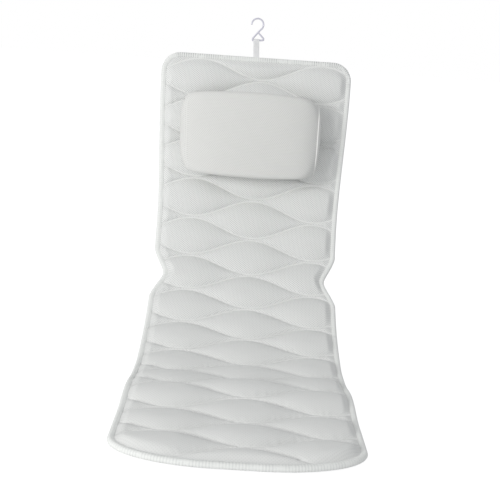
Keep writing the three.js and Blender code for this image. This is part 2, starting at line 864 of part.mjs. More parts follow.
// A straight round rod between two points.
function rod(from, to) {
  const [start, end] = [new THREE.Vector3(...from), new THREE.Vector3(...to)];
  const way = end.clone().sub(start);
  const geometry = new THREE.CylinderGeometry(wireRadius, wireRadius, way.length(), wireSides);
  geometry.applyQuaternion(new THREE.Quaternion().setFromUnitVectors(new THREE.Vector3(0, 1, 0), way.normalize()));
  geometry.translate(...start.add(end).multiplyScalar(0.5).toArray());
  return geometry;
}

// A rounded joint between rods.
function ball(centre) {
  return new THREE.SphereGeometry(wireRadius, wireSides, wireSides / 2).translate(...centre);
}

// The open round of the hook.
class HookArc extends THREE.Curve {
  getPoint(share) {
    const angle = (hookStart + (hookEnd - hookStart) * share) * degrees;
    return new THREE.Vector3(
      hookCentreShift + hookRadius * Math.cos(angle),
      0,
      hookCentreHeight + hookRadius * Math.sin(angle),
    );
  }
}

// The hook stands over its bar: a bail that the strap goes through, a slanting stem and an open round.
function hookGeometry() {
  const corners = [
    [-bailHalfWidth, 0, 0],
    [-bailHalfWidth, 0, bailPost],
    [0, 0, neckHeight],
    [bailHalfWidth, 0, bailPost],
    [bailHalfWidth, 0, 0],
  ];
  const arc = new HookArc();
  const circle = new THREE.Shape().absarc(0, 0, wireRadius, 0, 2 * Math.PI, false);
  const round = new THREE.ExtrudeGeometry(circle, {
    steps: 2 * wireSides,
    extrudePath: arc,
    curveSegments: wireSides / 2,
    bevelEnabled: false,
  });
  const rods = corners.map((corner, i) => rod(corner, corners[(i + 1) % corners.length]));
  const stem = rod([0, 0, neckHeight], arc.getPoint(0).toArray());
  const tips = [arc.getPoint(0), arc.getPoint(1)].map((point) => ball(point.toArray()));
  return join([...rods, ...corners.map(ball), stem, round, ...tips]);
}

// The strap stands on the top binding, and the hook turns on its bar in the strap's loop.
function hanger() {
  const group = new THREE.Group();
  const dip = (strapWidth / 2) * Math.sin(strapTilt * degrees);
  const away = strapBaseRadius + clearance + dip;
  group.position.set(...place(strapShift, -away, bindingThickness / 2));
  group.rotation.y = -strapTilt * degrees;
  const hook = meshOf("hook", hookGeometry(), "hook");
  hook.position.set(hookShift, 0, strapLength);
  group.add(meshOf("hanging_strap", strapGeometry(), "binding"), hook);
  return group;
}

const bathPillow = new THREE.Group();
bathPillow.add(backSection(), seatSection(), legSection(), pillow(), hanger());

export default bathPillow;
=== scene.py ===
"""Looks of a bath pillow: a quilted mat, its bound edge, the head pillow, the strap, the hook and the cups.

Lengths are in metres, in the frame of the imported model. A place on the mat is (across, along, above):
along runs down the mat from its top edge, and above is the height over the mat's underside.
"""

import logging
import math
from collections.abc import Sequence
from dataclasses import dataclass
from enum import Enum
from functools import cached_property

import bpy
import numpy as np
from mathutils import Matrix, Vector

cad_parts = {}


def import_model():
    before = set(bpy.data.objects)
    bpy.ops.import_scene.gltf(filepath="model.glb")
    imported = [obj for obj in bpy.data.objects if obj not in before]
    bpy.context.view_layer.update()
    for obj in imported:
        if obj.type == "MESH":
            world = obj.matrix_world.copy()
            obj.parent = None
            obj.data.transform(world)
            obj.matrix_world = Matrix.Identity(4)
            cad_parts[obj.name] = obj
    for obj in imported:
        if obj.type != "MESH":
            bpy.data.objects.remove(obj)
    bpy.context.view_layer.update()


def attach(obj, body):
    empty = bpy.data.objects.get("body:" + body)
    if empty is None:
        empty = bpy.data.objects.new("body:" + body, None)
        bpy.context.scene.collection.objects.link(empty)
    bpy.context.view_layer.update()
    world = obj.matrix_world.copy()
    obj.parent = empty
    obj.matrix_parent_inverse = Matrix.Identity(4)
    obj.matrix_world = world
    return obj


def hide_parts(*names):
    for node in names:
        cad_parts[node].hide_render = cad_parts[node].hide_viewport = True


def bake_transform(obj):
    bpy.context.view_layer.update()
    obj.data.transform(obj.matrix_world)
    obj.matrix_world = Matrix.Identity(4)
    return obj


LOG = logging.getLogger("bath_pillow")

Array = np.ndarray
Colour = tuple[float, float, float]
Pair = tuple[float, float]

ACROSS = np.array([1.0, 0.0, 0.0])
WHITE = (1.0, 1.0, 1.0)
FULL_TURN = 2.0 * np.pi


def smooth(share: Array | float) -> Array:
    """Ease from 0 to 1: three times the square less twice the cube, held at both ends."""
    held = np.clip(share, 0.0, 1.0)
    return held * held * (3.0 - 2.0 * held)


def hashed_noise(x: Array, y: Array, seed: int) -> Array:
    """Smooth value noise: fixed pseudo-random corner values, eased between along both directions.

    Args:
        x: First coordinate, one unit to a cell.
        y: Second coordinate, one unit to a cell.
        seed: Number that picks the table of corner values.

    Returns:
        Noise between -1 and 1.
    """
    cells = 64
    table = np.random.default_rng(seed).uniform(-1.0, 1.0, (cells, cells))
    column, row = np.floor(x).astype(int), np.floor(y).astype(int)
    right, up = smooth(x - column), smooth(y - row)
    corner = [table[(row + j) % cells, (column + i) % cells] for j in (0, 1) for i in (0, 1)]
    low = corner[0] + (corner[1] - corner[0]) * right
    high = corner[2] + (corner[3] - corner[2]) * right
    return low + (high - low) * up


def grid_quads(rows: int, columns: int, wrap: bool = False) -> Array:
    """Corners of the quads between neighbouring rows and columns of a grid of points.

    Args:
        rows: Number of rows.
        columns: Number of columns.
        wrap: Whether the last column meets the first.

    Returns:
        One row of four vertex numbers for each quad.
    """
    ids = np.arange(rows * columns).reshape(rows, columns)
    right = np.roll(ids, -1, axis=1) if wrap else ids[:, 1:]
    left = ids if wrap else ids[:, :-1]
    return np.stack([left[:-1], right[:-1], right[1:], left[1:]], axis=-1).reshape(-1, 4)


def lidded(rows: int, size: int) -> list[Array]:
    """Faces of a tube of rings with one many-sided face on each end."""
    ring = np.arange(size)
    return [grid_quads(rows, size, True), ring[None, ::-1], (ring + (rows - 1) * size)[None, :]]


def fanned(rows: int, size: int) -> list[Array]:
    """Faces of a tube of rings with a fan on each end, round the two points that follow the rings."""
    ring = np.arange(size)
    after, far, count = np.roll(ring, -1), (rows - 1) * size, rows * size
    fans = [(after, ring, np.full(size, count)), (ring + far, after + far, np.full(size, count + 1))]
    return [grid_quads(rows, size, True), *(np.stack(fan, axis=-1) for fan in fans)]


def with_middles(rings: Array) -> Array:
    """Points of all rings, one to a row, then the middles of the first and the last ring."""
    ends = [rings[0].mean(0)[None], rings[-1].mean(0)[None]]
    return np.concatenate([rings.reshape(-1, rings.shape[-1]), *ends])


def paired(first: Array, second: Array) -> Array:
    """Pairs of the values of two arrays that are spread over each other."""
    return np.stack(np.broadcast_arrays(first, second), axis=-1)


def walked(line: Array) -> Array:
    """Length walked along a line to each of its points."""
    return np.concatenate([[0.0], np.cumsum(np.linalg.norm(np.diff(line, axis=0), axis=1))])


def points_at(line: Array, lengths: Array) -> Array:
    """Points of a flat line at given lengths walked along it."""
    places = walked(line)
    return np.stack([np.interp(lengths, places, line[:, axis]) for axis in (0, 1)], axis=-1)


def unit(ways: Array) -> Array:
    """Vectors brought to a length of 1, one to a row."""
    return ways / np.linalg.norm(ways, axis=1, keepdims=True)


def ways_along(line: Array, closed: bool) -> Array:
    """Directions of a line at its points, from its neighbours on both sides."""
    return unit(np.roll(line, -1, axis=0) - np.roll(line, 1, axis=0) if closed else np.gradient(line, axis=0))


def ways_beside(line: Array, closed: bool = False) -> Array:
    """Directions to the right of a flat line at its points."""
    way = ways_along(line, closed)
    return np.stack([way[:, 1], -way[:, 0]], axis=-1)


def turns(count: int) -> Array:
    """Equal angles round a full turn."""
    return np.linspace(0.0, FULL_TURN, count + 1)[:-1]


def make_piece(
    name: str,
    points: Array,
    faces: Sequence[Array],
    uv: Array | None = None,
    marks: dict[str, Array] | None = None,
    material: bpy.types.Material | None = None,
) -> bpy.types.Object:
    """Make a smooth-shaded mesh object at the origin from whole arrays, its faces turned outwards.

    Args:
        name: Name of the piece.
        points: Vertex places, three in the last axis.
        faces: Arrays of the faces' vertex numbers, all winding the same way.
        uv: Flat places of the vertices for woven patterns, two in the last axis.
        marks: Named values, one to a vertex, that materials read.
        material: Its material.

    Returns:
        The new object, linked to the scene.
    """
    points = np.asarray(points, np.float32).reshape(-1, 3)
    mesh = bpy.data.meshes.new(name)
    corners = np.concatenate([group.ravel() for group in faces]).astype(np.int32)
    sizes = np.concatenate([np.full(len(group), group.shape[1]) for group in faces])
    mesh.vertices.add(len(points))
    mesh.vertices.foreach_set("co", points.ravel())
    mesh.loops.add(len(corners))
    mesh.loops.foreach_set("vertex_index", corners)
    mesh.polygons.add(len(sizes))
    mesh.polygons.foreach_set("loop_start", (np.cumsum(sizes) - sizes).astype(np.int32))
    mesh.polygons.foreach_set("use_smooth", np.ones(len(sizes), bool))
    mesh.update(calc_edges=True)
    if uv is not None:
        layer = mesh.uv_layers.new(name="weave")
        layer.data.foreach_set("uv", np.asarray(uv, np.float32).reshape(-1, 2)[corners].ravel())
    for key, values in (marks or {}).items():
        attribute = mesh.attributes.new(key, "FLOAT", "POINT")
        attribute.data.foreach_set("value", np.asarray(values, np.float32).ravel())
    mesh.validate()
    if material is not None:
        mesh.materials.append(material)
    made = bpy.data.objects.new(name, mesh)
    bpy.context.scene.collection.objects.link(made)
    outward(made)
    return made


def outward(piece: bpy.types.Object) -> None:
    """Turn a closed piece's faces outwards, by the sign of the volume that its triangles enclose.

    Args:
        piece: A closed mesh whose faces all wind the same way.
    """
    mesh = piece.data
    mesh.calc_loop_triangles()
    ids = np.zeros(len(mesh.loop_triangles) * 3, np.int32)
    mesh.loop_triangles.foreach_get("vertices", ids)
    corner = read_points(piece)[ids.reshape(-1, 3)]
    volume = np.einsum("ij,ij->i", corner[:, 0], np.cross(corner[:, 1], corner[:, 2])).sum()
    if volume < 0.0:
        mesh.flip_normals()


def read_points(piece: bpy.types.Object) -> Array:
    """Read a piece's vertex places, three to a row."""
    points = np.zeros(len(piece.data.vertices) * 3, np.float32)
    piece.data.vertices.foreach_get("co", points)
    return points.reshape(-1, 3).astype(float)


def write_points(piece: bpy.types.Object, points: Array) -> None:
    """Put new vertex places, three to a row, into a piece."""
    piece.data.vertices.foreach_set("co", np.asarray(points, np.float32).ravel())
    piece.data.update()


def apply_modifiers(piece: bpy.types.Object) -> None:
    """Replace a piece's mesh by what its modifiers make of it, and take the modifiers off."""
    graph = bpy.context.evaluated_depsgraph_get()
    finished = bpy.data.meshes.new_from_object(piece.evaluated_get(graph), depsgraph=graph)
    finished.name = piece.name
    piece.modifiers.clear()
    piece.data = finished
    finished.polygons.foreach_set("use_smooth", np.ones(len(finished.polygons), bool))


class Wire:
    """A shader socket whose arithmetic adds Math nodes."""

    def __init__(self, graph: "ShaderGraph", socket: bpy.types.NodeSocket) -> None:
        """Keep the graph that new nodes go into, and the socket."""
        self.graph = graph
        self.socket = socket

    def math(self, operation: str, *values: "Wire | float") -> "Wire":
        """Add one Math node that takes this value first."""
        inputs = dict(enumerate([self, *values]))
        return self.graph.node("ShaderNodeMath", {"operation": operation}, inputs)

    def _after(self, operation: str, first: float) -> "Wire":
        """Add one Math node that takes a plain number first and this value second."""
        return self.graph.node("ShaderNodeMath", {"operation": operation}, {0: first, 1: self})

    def __add__(self, other: "Wire | float") -> "Wire":
        """Sum."""
        return self.math("ADD", other)

    __radd__ = __add__

    def __sub__(self, other: "Wire | float") -> "Wire":
        """Difference."""
        return self.math("SUBTRACT", other)

    def __rsub__(self, other: float) -> "Wire":
        """Difference, with the number first."""
        return self._after("SUBTRACT", other)

    def __mul__(self, other: "Wire | float") -> "Wire":
        """Product."""
        return self.math("MULTIPLY", other)

    __rmul__ = __mul__

    def __truediv__(self, other: "Wire | float") -> "Wire":
        """Quotient."""
        return self.math("DIVIDE", other)

    def __rtruediv__(self, other: float) -> "Wire":
        """Quotient, with the number first."""
        return self._after("DIVIDE", other)

    def __abs__(self) -> "Wire":
        """Size without its sign."""
        return self.math("ABSOLUTE")

    def sine(self) -> "Wire":
        """Sine of the value in radians."""
        return self.math("SINE")

    def cell(self, pitch: float, shift: float = 0.0) -> "Wire":
        """Signed distance from the middle of a cell of that pitch, the cells moved by a share of one."""
        return ((self / pitch + shift).math("FRACT") - 0.5) * pitch

    def step(self, low: float, high: float) -> "Wire":
        """Ease from 0 where the value is low to 1 where it is high.

        Args:
            low: Value that gives 0.
            high: Value that gives 1, which may be the lower of the two.

        Returns:
            The eased value.
        """
        falling = high < low
        first, last = (high, low) if falling else (low, high)
        settings = {"interpolation_type": "SMOOTHSTEP"}
        inputs = {"Value": self, "From Min": first, "From Max": last}
        eased = self.graph.node("ShaderNodeMapRange", settings, inputs)
        return 1.0 - eased if falling else eased


class ShaderGraph:
    """The nodes of one material, or of the surroundings."""

    def __init__(self, owner: bpy.types.Material | bpy.types.World) -> None:
        """Empty the nodes of a material or a world."""
        self.owner = owner
        owner.use_nodes = True
        self.tree = owner.node_tree
        self.tree.nodes.clear()

    def node(
        self,
        kind: str,
        settings: dict[str, object] | None = None,
        inputs: dict[int | str, "Wire | float | tuple"] | None = None,
        out: int | str = 0,
    ) -> Wire:
        """Add a node, set it up, then give or link its sockets.

        Args:
            kind: The node's type.
            settings: Its own settings, which are set first.
            inputs: Values or links for its sockets.
            out: Which output the result reads.

        Returns:
            That output.
        """
        made = self.tree.nodes.new(kind)
        for key, value in (settings or {}).items():
            setattr(made, key, value)
        for key, value in (inputs or {}).items():
            if isinstance(value, Wire):
                self.tree.links.new(value.socket, made.inputs[key])
            else:
                made.inputs[key].default_value = value
        return Wire(self, made.outputs[out] if made.outputs else made.inputs[0])

    def mix(self, factor: Wire | float, first: Wire | Colour, second: Wire | Colour) -> Wire:
        """Mix two colours, the second one by the factor's share."""
        pair = [c if isinstance(c, Wire) else (*c, 1.0) for c in (first, second)]
        return self.node("ShaderNodeMix", {"data_type": "RGBA"}, {0: factor, 6: pair[0], 7: pair[1]}, 2)

    def weave_place(self) -> tuple[Wire, Wire]:
        """Read the two coordinates of a piece's own flat map, in metres."""
        flat = self.node("ShaderNodeUVMap", {"uv_map": "weave"})
        parts = self.node("ShaderNodeSeparateXYZ", None, {0: flat}).socket.node
        return Wire(self, parts.outputs[0]), Wire(self, parts.outputs[1])

    def object_place(self) -> Wire:
        """Read the place on the object, in metres."""
        return self.node("ShaderNodeTexCoord", out="Object")

    def noise(self, scale: float, detail: float = 2.0) -> Wire:
        """Read soft noise around 0.5 at the place on the object, by its cells to the metre and its finer layers."""
        inputs = {"Vector": self.object_place(), "Scale": scale, "Detail": detail}
        return self.node("ShaderNodeTexNoise", {"noise_dimensions": "3D"}, inputs)

    def mark(self, name: str) -> Wire:
        """Read a value that the piece's mesh carries."""
        return self.node("ShaderNodeAttribute", {"attribute_name": name}, out="Fac")

    def bump(self, height: Wire, distance: float, strength: float = 1.0) -> Wire:
        """Turn a height, as a share of a distance in metres, into a changed surface direction."""
        return self.node("ShaderNodeBump", None, {"Height": height, "Distance": distance, "Strength": strength})

    def finish(
        self,
        colour: Wire | Colour,
        roughness: Wire | float,
        normal: Wire | None = None,
        **fixed: float | Colour,
    ) -> bpy.types.Material:
        """End the graph in one principled surface.

        Args:
            colour: Base colour.
            roughness: Roughness.
            normal: Surface direction.
            fixed: Further sockets by name, with underscores for spaces, the same all over.

        Returns:
            The finished material.
        """
        base = colour if isinstance(colour, Wire) else (*colour, 1.0)
        inputs: dict[int | str, object] = {"Base Color": base, "Roughness": roughness}
        if normal is not None:
            inputs["Normal"] = normal
        for key, value in fixed.items():
            inputs[key.replace("_", " ")] = value
        surface = self.node("ShaderNodeBsdfPrincipled", None, inputs)
        self.node("ShaderNodeOutputMaterial", None, {"Surface": surface})
        return self.owner


@dataclass(frozen=True)
class MeshKnit:
    """Open mesh knit: a staggered lattice of small holes darkened by painted shade, with quilting thread where it has
    a stitch colour.
    """

    name: str
    yarn: Colour
    # Colour in the holes: painted shade in the knit's openings.
    hole: Colour
    hole_pitch: Pair
    hole_share: float
    # Colour in the grooves beside the seams: painted shade in the creases.
    pressed: Colour | None = None
    stitch: Colour | None = None
    hole_radius: float = 0.0012
    hole_edge_shares: Pair = (1.35, 0.45)
    groove_edges: Pair = (0.0034, 0.0008)
    thread_edges: Pair = (0.0010, 0.0005)
    stitch_pitch: float = 0.0036
    stitch_edges: Pair = (0.0016, 0.0012)
    depth: float = 0.0003
    calmed: float = 0.75
    # Share by which the yarn darkens towards the foot: painted shade.
    foot_shade: float = 0.11
    drift_cells: float = 14.0
    drift_edges: Pair = (0.3, 0.7)
    drifted: float = 0.025
    fuzz_cells: float = 900.0
    fuzz_height: float = 0.25
    groove_shares: Pair = (0.75, 0.8)
    stitch_shares: Pair = (0.6, 0.8)
    roughness: float = 0.82

    def lattice(self, graph: ShaderGraph) -> Wire:
        """Depth of the staggered holes: 1 at the middle of a hole, falling to 0 on the yarn.

        The distance to the nearest hole is the smaller of the distances within two lattices of equal cells,
        one moved by half a cell both ways.

        Args:
            graph: Graph that the nodes go into.

        Returns:
            The depth as a share.
        """
        u, v = graph.weave_place()
        distances = []
        for shift in (0.0, 0.5):
            du, dv = u.cell(self.hole_pitch[0], shift), v.cell(self.hole_pitch[1], shift)
            distances.append((du * du + dv * dv).math("SQRT"))
        nearest = distances[0].math("MINIMUM", distances[1])
        return nearest.step(*(self.hole_radius * share for share in self.hole_edge_shares))

    def thread(self, graph: ShaderGraph) -> tuple[Wire, Wire]:
        """Quilting thread and the groove that it lies in, from the distance to the nearest seam.

        Args:
            graph: Graph that the nodes go into.

        Returns:
            The dashes of the thread and the groove, each from 0 to 1.
        """
        distance = graph.mark("seam")
        u, _ = graph.weave_place()
        dash = abs(u.cell(self.stitch_pitch)).step(*self.stitch_edges)
        return distance.step(*self.thread_edges) * dash, distance.step(*self.groove_edges)

    def material(self) -> bpy.types.Material:
        """Make the material: holes in drifting yarn, calmer and darkened by painted shade down the mat, with grooves
        darkened by painted shade and stitches.

        Returns:
            The finished material.
        """
        graph = ShaderGraph(bpy.data.materials.new(self.name))
        holes = self.lattice(graph)
        drift = graph.noise(self.drift_cells).step(*self.drift_edges)
        fuzz = graph.noise(self.fuzz_cells, 1.0)
        yarn = graph.mix(drift * 0.5, self.yarn, tuple(c * (1.0 - self.drifted) for c in self.yarn))
        if self.stitch:
            calm = graph.mark("calm")
            holes = holes * (1.0 - calm * self.calmed)
            # Painted shade: the yarn darkens down the mat as the calm mark grows.
            yarn = graph.mix(calm, yarn, tuple(c * (1.0 - self.foot_shade) for c in self.yarn))
        # Painted shade: the yarn is mixed towards the dark hole colour inside each hole.
        colour = graph.mix(holes * self.hole_share, yarn, self.hole)
        height = 1.0 - holes + fuzz * self.fuzz_height
        if self.stitch:
            dash, groove = self.thread(graph)
            # Painted shade in the seam grooves, laid over their bump.
            colour = graph.mix(groove * self.groove_shares[0], colour, self.pressed)
            colour = graph.mix(dash * self.stitch_shares[0], colour, self.stitch)
            height = height * (1.0 - groove * self.groove_shares[1]) + dash * self.stitch_shares[1]
        normal = graph.bump(height, self.depth)
        return graph.finish(colour, self.roughness, normal, Sheen_Weight=0.12, Sheen_Roughness=0.5)


@dataclass(frozen=True)
class EdgeTape:
    """Folded edge tape with overlocking: raised threads across it, painted shade in the gaps between them, and a
    zigzag line near its inner edge.
    """

    name: str
    tape: Colour
    thread: Colour
    # Colour between the raised threads: painted shade.
    gap_shade: Colour
    thread_pitch: float
    zigzag_at: float
    zigzag_reach: float
    depth: float
    loop_edge_shares: Pair = (0.42, 0.12)
    zigzag_share: float = 1.3
    zigzag_edges: Pair = (0.0008, 0.0003)
    patch_cells: float = 70.0
    patch_edges: Pair = (0.34, 0.52)
    gap_shares: Pair = (0.03, 0.7)
    loop_heights: Pair = (0.1, 0.7)
    weave_length: float = 0.0009
    weave_height: float = 0.08
    line_shares: Pair = (0.5, 0.4)

    def material(self) -> bpy.types.Material:
        """Make the material from the tape's own map: u along it and v across it, both in metres.

        Returns:
            The finished material.
        """
        graph = ShaderGraph(bpy.data.materials.new(self.name))
        u, v = graph.weave_place()
        pitch = self.thread_pitch
        loops = abs(u.cell(pitch)).step(*(pitch * share for share in self.loop_edge_shares))
        patch = graph.noise(self.patch_cells).step(*self.patch_edges) * graph.mark("overlock")
        zigzag = pitch * self.zigzag_share
        wave = abs(u.cell(zigzag)) / (zigzag / 2.0) - 0.5
        line = abs(v - self.zigzag_at - wave * self.zigzag_reach).step(*self.zigzag_edges)
        weave = (u * (FULL_TURN / self.weave_length)).sine() * (v * (FULL_TURN / self.weave_length)).sine()
        # Painted shade in the gaps between the raised threads, stronger where the overlocking shows.
        shade = graph.mix((1.0 - loops) * (self.gap_shares[0] + patch * self.gap_shares[1]), self.tape, self.gap_shade)
        colour = graph.mix(line * self.line_shares[0], shade, self.thread)
        height = loops * (self.loop_heights[0] + patch * self.loop_heights[1])
        height = height + weave * self.weave_height + line * self.line_shares[1]
        normal = graph.bump(height, self.depth)
        return graph.finish(colour, 0.72, normal, Sheen_Weight=0.1, Sheen_Roughness=0.5)


@dataclass(frozen=True)
class Webbing:
    """Woven strap: slanting ribs across a flat weave, painted shade between the ribs, with lighter woven edges."""

    name: str
    yarn: Colour
    # Colour between the ribs: painted shade.
    gap_shade: Colour
    rib_pitch: float
    half_width: float
    slant_pitch: float = 0.0034
    slant: float = 0.9
    rib_edge_shares: Pair = (0.45, 0.15)
    edge_insets: Pair = (0.0012, 0.0006)
    fuzz_cells: float = 1200.0
    depth: float = 0.0003

    def material(self) -> bpy.types.Material:
        """Make the material from the strap's own map: u across it and v along it, both in metres.

        Returns:
            The finished material.
        """
        graph = ShaderGraph(bpy.data.materials.new(self.name))
        u, v = graph.weave_place()
        place = v + abs(u.cell(self.slant_pitch)) * self.slant
        ribs = abs(place.cell(self.rib_pitch)).step(*(self.rib_pitch * share for share in self.rib_edge_shares))
        edge = abs(u).step(*(self.half_width - inset for inset in self.edge_insets))
        # Painted shade between the ribs.
        colour = graph.mix((1.0 - ribs) * 0.5, self.yarn, self.gap_shade)
        colour = graph.mix(edge * 0.4, colour, self.yarn)
        normal = graph.bump(ribs + graph.noise(self.fuzz_cells, 1.0) * 0.2, self.depth)
        return graph.finish(colour, 0.75, normal, Sheen_Weight=0.1, Sheen_Roughness=0.5)


@dataclass(frozen=True)
class MouldedPlastic:
    """Glossy moulded plastic with the faintest unevenness."""

    name: str
    colour: Colour
    roughness: float
    uneven_cells: float = 160.0
    uneven_share: float = 0.12
    uneven_depth: float = 0.0002
    tint_cells: float = 60.0
    tinted: float = 0.04

    def material(self) -> bpy.types.Material:
        """Make the material.

        Returns:
            The finished material.
        """
        graph = ShaderGraph(bpy.data.materials.new(self.name))
        unevenness = graph.noise(self.uneven_cells)
        rough = unevenness * self.uneven_share + (self.roughness - self.uneven_share / 2.0)
        darker = tuple(c * (1.0 - self.tinted) for c in self.colour)
        colour = graph.mix(graph.noise(self.tint_cells), self.colour, darker)
        normal = graph.bump(unevenness, self.uneven_depth, 0.4)
        return graph.finish(colour, rough, normal, Coat_Weight=0.4, Coat_Roughness=0.12)


@dataclass(frozen=True)
class ClearVinyl:
    """Soft frosted vinyl of the suction cups, a little cloudy."""

    name: str
    colour: Colour
    cloud_cells: float = 90.0
    clouded: float = 0.06
    roughness: float = 0.38
    rougher: float = 0.14

    def material(self) -> bpy.types.Material:
        """Make the material.

        Returns:
            The finished material.
        """
        graph = ShaderGraph(bpy.data.materials.new(self.name))
        cloud = graph.noise(self.cloud_cells)
        colour = graph.mix(cloud, self.colour, tuple(c * (1.0 - self.clouded) for c in self.colour))
        rough = cloud * self.rougher + self.roughness
        return graph.finish(colour, rough, None, Transmission_Weight=0.12, Specular_IOR_Level=0.3)


class Fastening(Enum):
    """The two faces of a touch fastening."""

    LOOPS = "loops"
    HOOKS = "hooks"


@dataclass(frozen=True)
class TouchTape:
    """Touch fastening: a fuzzy face of loops, or rows of small hooks, on a woven ground."""

    name: str
    face: Fastening
    ground: Colour
    pile: Colour
    loop_cells: float = 700.0
    loop_edges: Pair = (0.35, 0.7)
    hook_pitch: Pair = (0.0016, 0.0021)
    hook_edges: tuple[Pair, Pair] = ((0.0006, 0.0002), (0.0008, 0.0003))
    border_edges: Pair = (0.0106, 0.0102)
    stitch_at: float = 0.0111
    stitch_edges: Pair = (0.0005, 0.0002)
    stitch_pitch: float = 0.003
    dash_edges: Pair = (0.0013, 0.0009)
    depth: float = 0.0008

    def material(self) -> bpy.types.Material:
        """Make the material from the strip's own map, in metres.

        Returns:
            The finished material.
        """
        graph = ShaderGraph(bpy.data.materials.new(self.name))
        u, v = graph.weave_place()
        if self.face is Fastening.LOOPS:
            pile = graph.noise(self.loop_cells, 3.0).step(*self.loop_edges)
        else:
            rows, columns = (
                abs(way.cell(pitch)).step(*edges)
                for way, pitch, edges in zip((u, v), self.hook_pitch, self.hook_edges, strict=True)
            )
            pile = rows * columns
        border = abs(v).step(*self.border_edges)
        dash = abs(u.cell(self.stitch_pitch)).step(*self.dash_edges)
        stitch = abs(abs(v) - self.stitch_at).step(*self.stitch_edges) * dash
        colour = graph.mix(pile * border * 0.8, self.ground, self.pile)
        colour = graph.mix(stitch, colour, self.pile)
        normal = graph.bump(pile * border + stitch * 0.6, self.depth)
        return graph.finish(colour, 0.85, normal, Sheen_Weight=0.15, Sheen_Roughness=0.6)


@dataclass(frozen=True)
class MatShape:
    """The mat as it is cut flat, and the line that it lies on in the tub."""

    length: float = 1.18
    width: float = 0.4
    corner_radius: float = 0.042
    foot_rounding_width: float = 0.17
    foot_rounding_length: float = 0.075
    waist_fold: float = 0.5
    knee_fold: float = 0.86
    notch_depth: float = 0.024
    notch_length: float = 0.122
    notch_shift: float = 0.003
    notch_rounding: float = 0.09
    notch_ease: float = 1.3
    top_widening: float = 0.012
    top_widening_length: float = 0.34
    foot_widening: float = 0.006
    back_slope: float = math.radians(77.0)
    floor_at: float = 0.785
    slope_places: tuple[float, ...] = (0.0, 0.39, 0.51, 0.64, 0.76, 0.87, 0.95, 1.0)
    slope_shares: tuple[float, ...] = (1.0, 1.0, 0.9, 0.57, 0.45, 0.27, 0.2, 0.0)
    knee_rise: float = 0.011
    knee_rise_length: float = 0.19
    knee_rise_start: float = 0.82
    cup_height: float = 0.008
    seat_cup_at: float = 0.803
    profile_steps: int = 400

    def slope(self, along: Array) -> Array:
        """Slope of the mat in radians: a table of shares of the back's slope, less the rise under the knees.

        Args:
            along: Lengths down the mat.

        Returns:
            The slopes, positive where the mat runs down towards the feet.
        """
        share = np.maximum(along, 0.0) / self.floor_at
        table = np.interp(share, self.slope_places, self.slope_shares)
        base = np.where(share >= 1.0, 0.0, self.back_slope * table)
        turn = (along - self.knee_rise_start) / self.knee_rise_length
        wave = np.sin(FULL_TURN * turn) * self.knee_rise * np.pi / self.knee_rise_length
        return base - np.where((turn > 0.0) & (turn < 1.0), np.arctan(wave), 0.0)

    @cached_property
    def profile(self) -> Array:
        """Side view of the underside: short steps along the slope, added up.

        Returns:
            Back and up of each point, one to a row.
        """
        step = self.length / self.profile_steps
        slopes = self.slope((np.arange(self.profile_steps) + 0.5) * step)
        moves = np.stack([-np.cos(slopes), -np.sin(slopes)], axis=-1) * step
        return np.concatenate([np.zeros((1, 2)), np.cumsum(moves, axis=0)])

    def on_profile(self, along: Array) -> Array:
        """Places on the side view, straight on past both ends.

        Args:
            along: Lengths down the mat.

        Returns:
            Back and up, in the last axis.
        """
        place = np.asarray(along, float) * self.profile_steps / self.length
        index = np.clip(np.floor(place).astype(int), 0, self.profile_steps - 1)
        share = (place - index)[..., None]
        return self.profile[index] * (1.0 - share) + self.profile[index + 1] * share

    def place(self, across: Array, along: Array, above: Array) -> Array:
        """Turn places on the mat into points: the side view's point, moved out square to the slope.

        Args:
            across: Distances from the middle line.
            along: Lengths down the mat.
            above: Heights over the underside.

        Returns:
            Points in space, in the last axis.
        """
        across, along, above = np.broadcast_arrays(across, along, above)
        line = self.on_profile(along) - self.on_profile(np.array(self.seat_cup_at))
        slope = self.slope(along)
        back = line[..., 0] - above * np.sin(slope)
        up = line[..., 1] + self.cup_height + above * np.cos(slope)
        return np.stack([across, back, up], axis=-1)

    def stand(self, points: Array, across: float, along: float, above: float = 0.0) -> Array:
        """Stand points square to the mat, round a place on it.

        Args:
            points: Points as across, up the mat and out from it, in the last axis.
            across: The place's distance from the middle line.
            along: Its length down the mat.
            above: Its height over the underside.

        Returns:
            Points in space.
        """
        slope = float(self.slope(np.array(along)))
        up = np.array([0.0, math.cos(slope), math.sin(slope)])
        out = np.array([0.0, -math.sin(slope), math.cos(slope)])
        seat = self.place(across, along, above)
        return seat + points[..., :1] * ACROSS + points[..., 1:2] * up + points[..., 2:3] * out

    def widening(self, along: Array) -> Array:
        """How much wider each side is than at the middle, eased towards the top and the foot."""
        up = (along - self.corner_radius) / self.top_widening_length
        reach = self.length - self.waist_fold - self.notch_length / 2.0
        down = (self.length - self.corner_radius - along) / reach
        return self.top_widening * (1.0 - smooth(up)) + self.foot_widening * (1.0 - smooth(down))

    def notch(self, along: Array) -> Array:
        """How far each side is drawn in at the waist: a V with a rounded tip and eased ends."""
        turn = np.abs(along - self.waist_fold - self.notch_shift) / self.notch_length
        root = np.hypot(turn, self.notch_rounding) - self.notch_rounding
        full = math.hypot(0.5, self.notch_rounding) - self.notch_rounding
        return self.notch_depth * np.maximum(1.0 - root / full, 0.0) ** self.notch_ease

    def corner(self, along: Array, inset: float) -> tuple[Array, Array, Array]:
        """The nearer end's rounded corners: a quarter circle at the top, a long quarter ellipse at the foot.

        Args:
            along: Lengths down the mat.
            inset: How far the outline is drawn in.

        Returns:
            How far a corner reaches across and along, and the distance from the inset end.
        """
        at_top = along < self.waist_fold
        wide = np.where(at_top, self.corner_radius, self.foot_rounding_width) - inset
        long = np.where(at_top, self.corner_radius, self.foot_rounding_length) - inset
        return wide, long, np.where(at_top, along, self.length - along) - inset

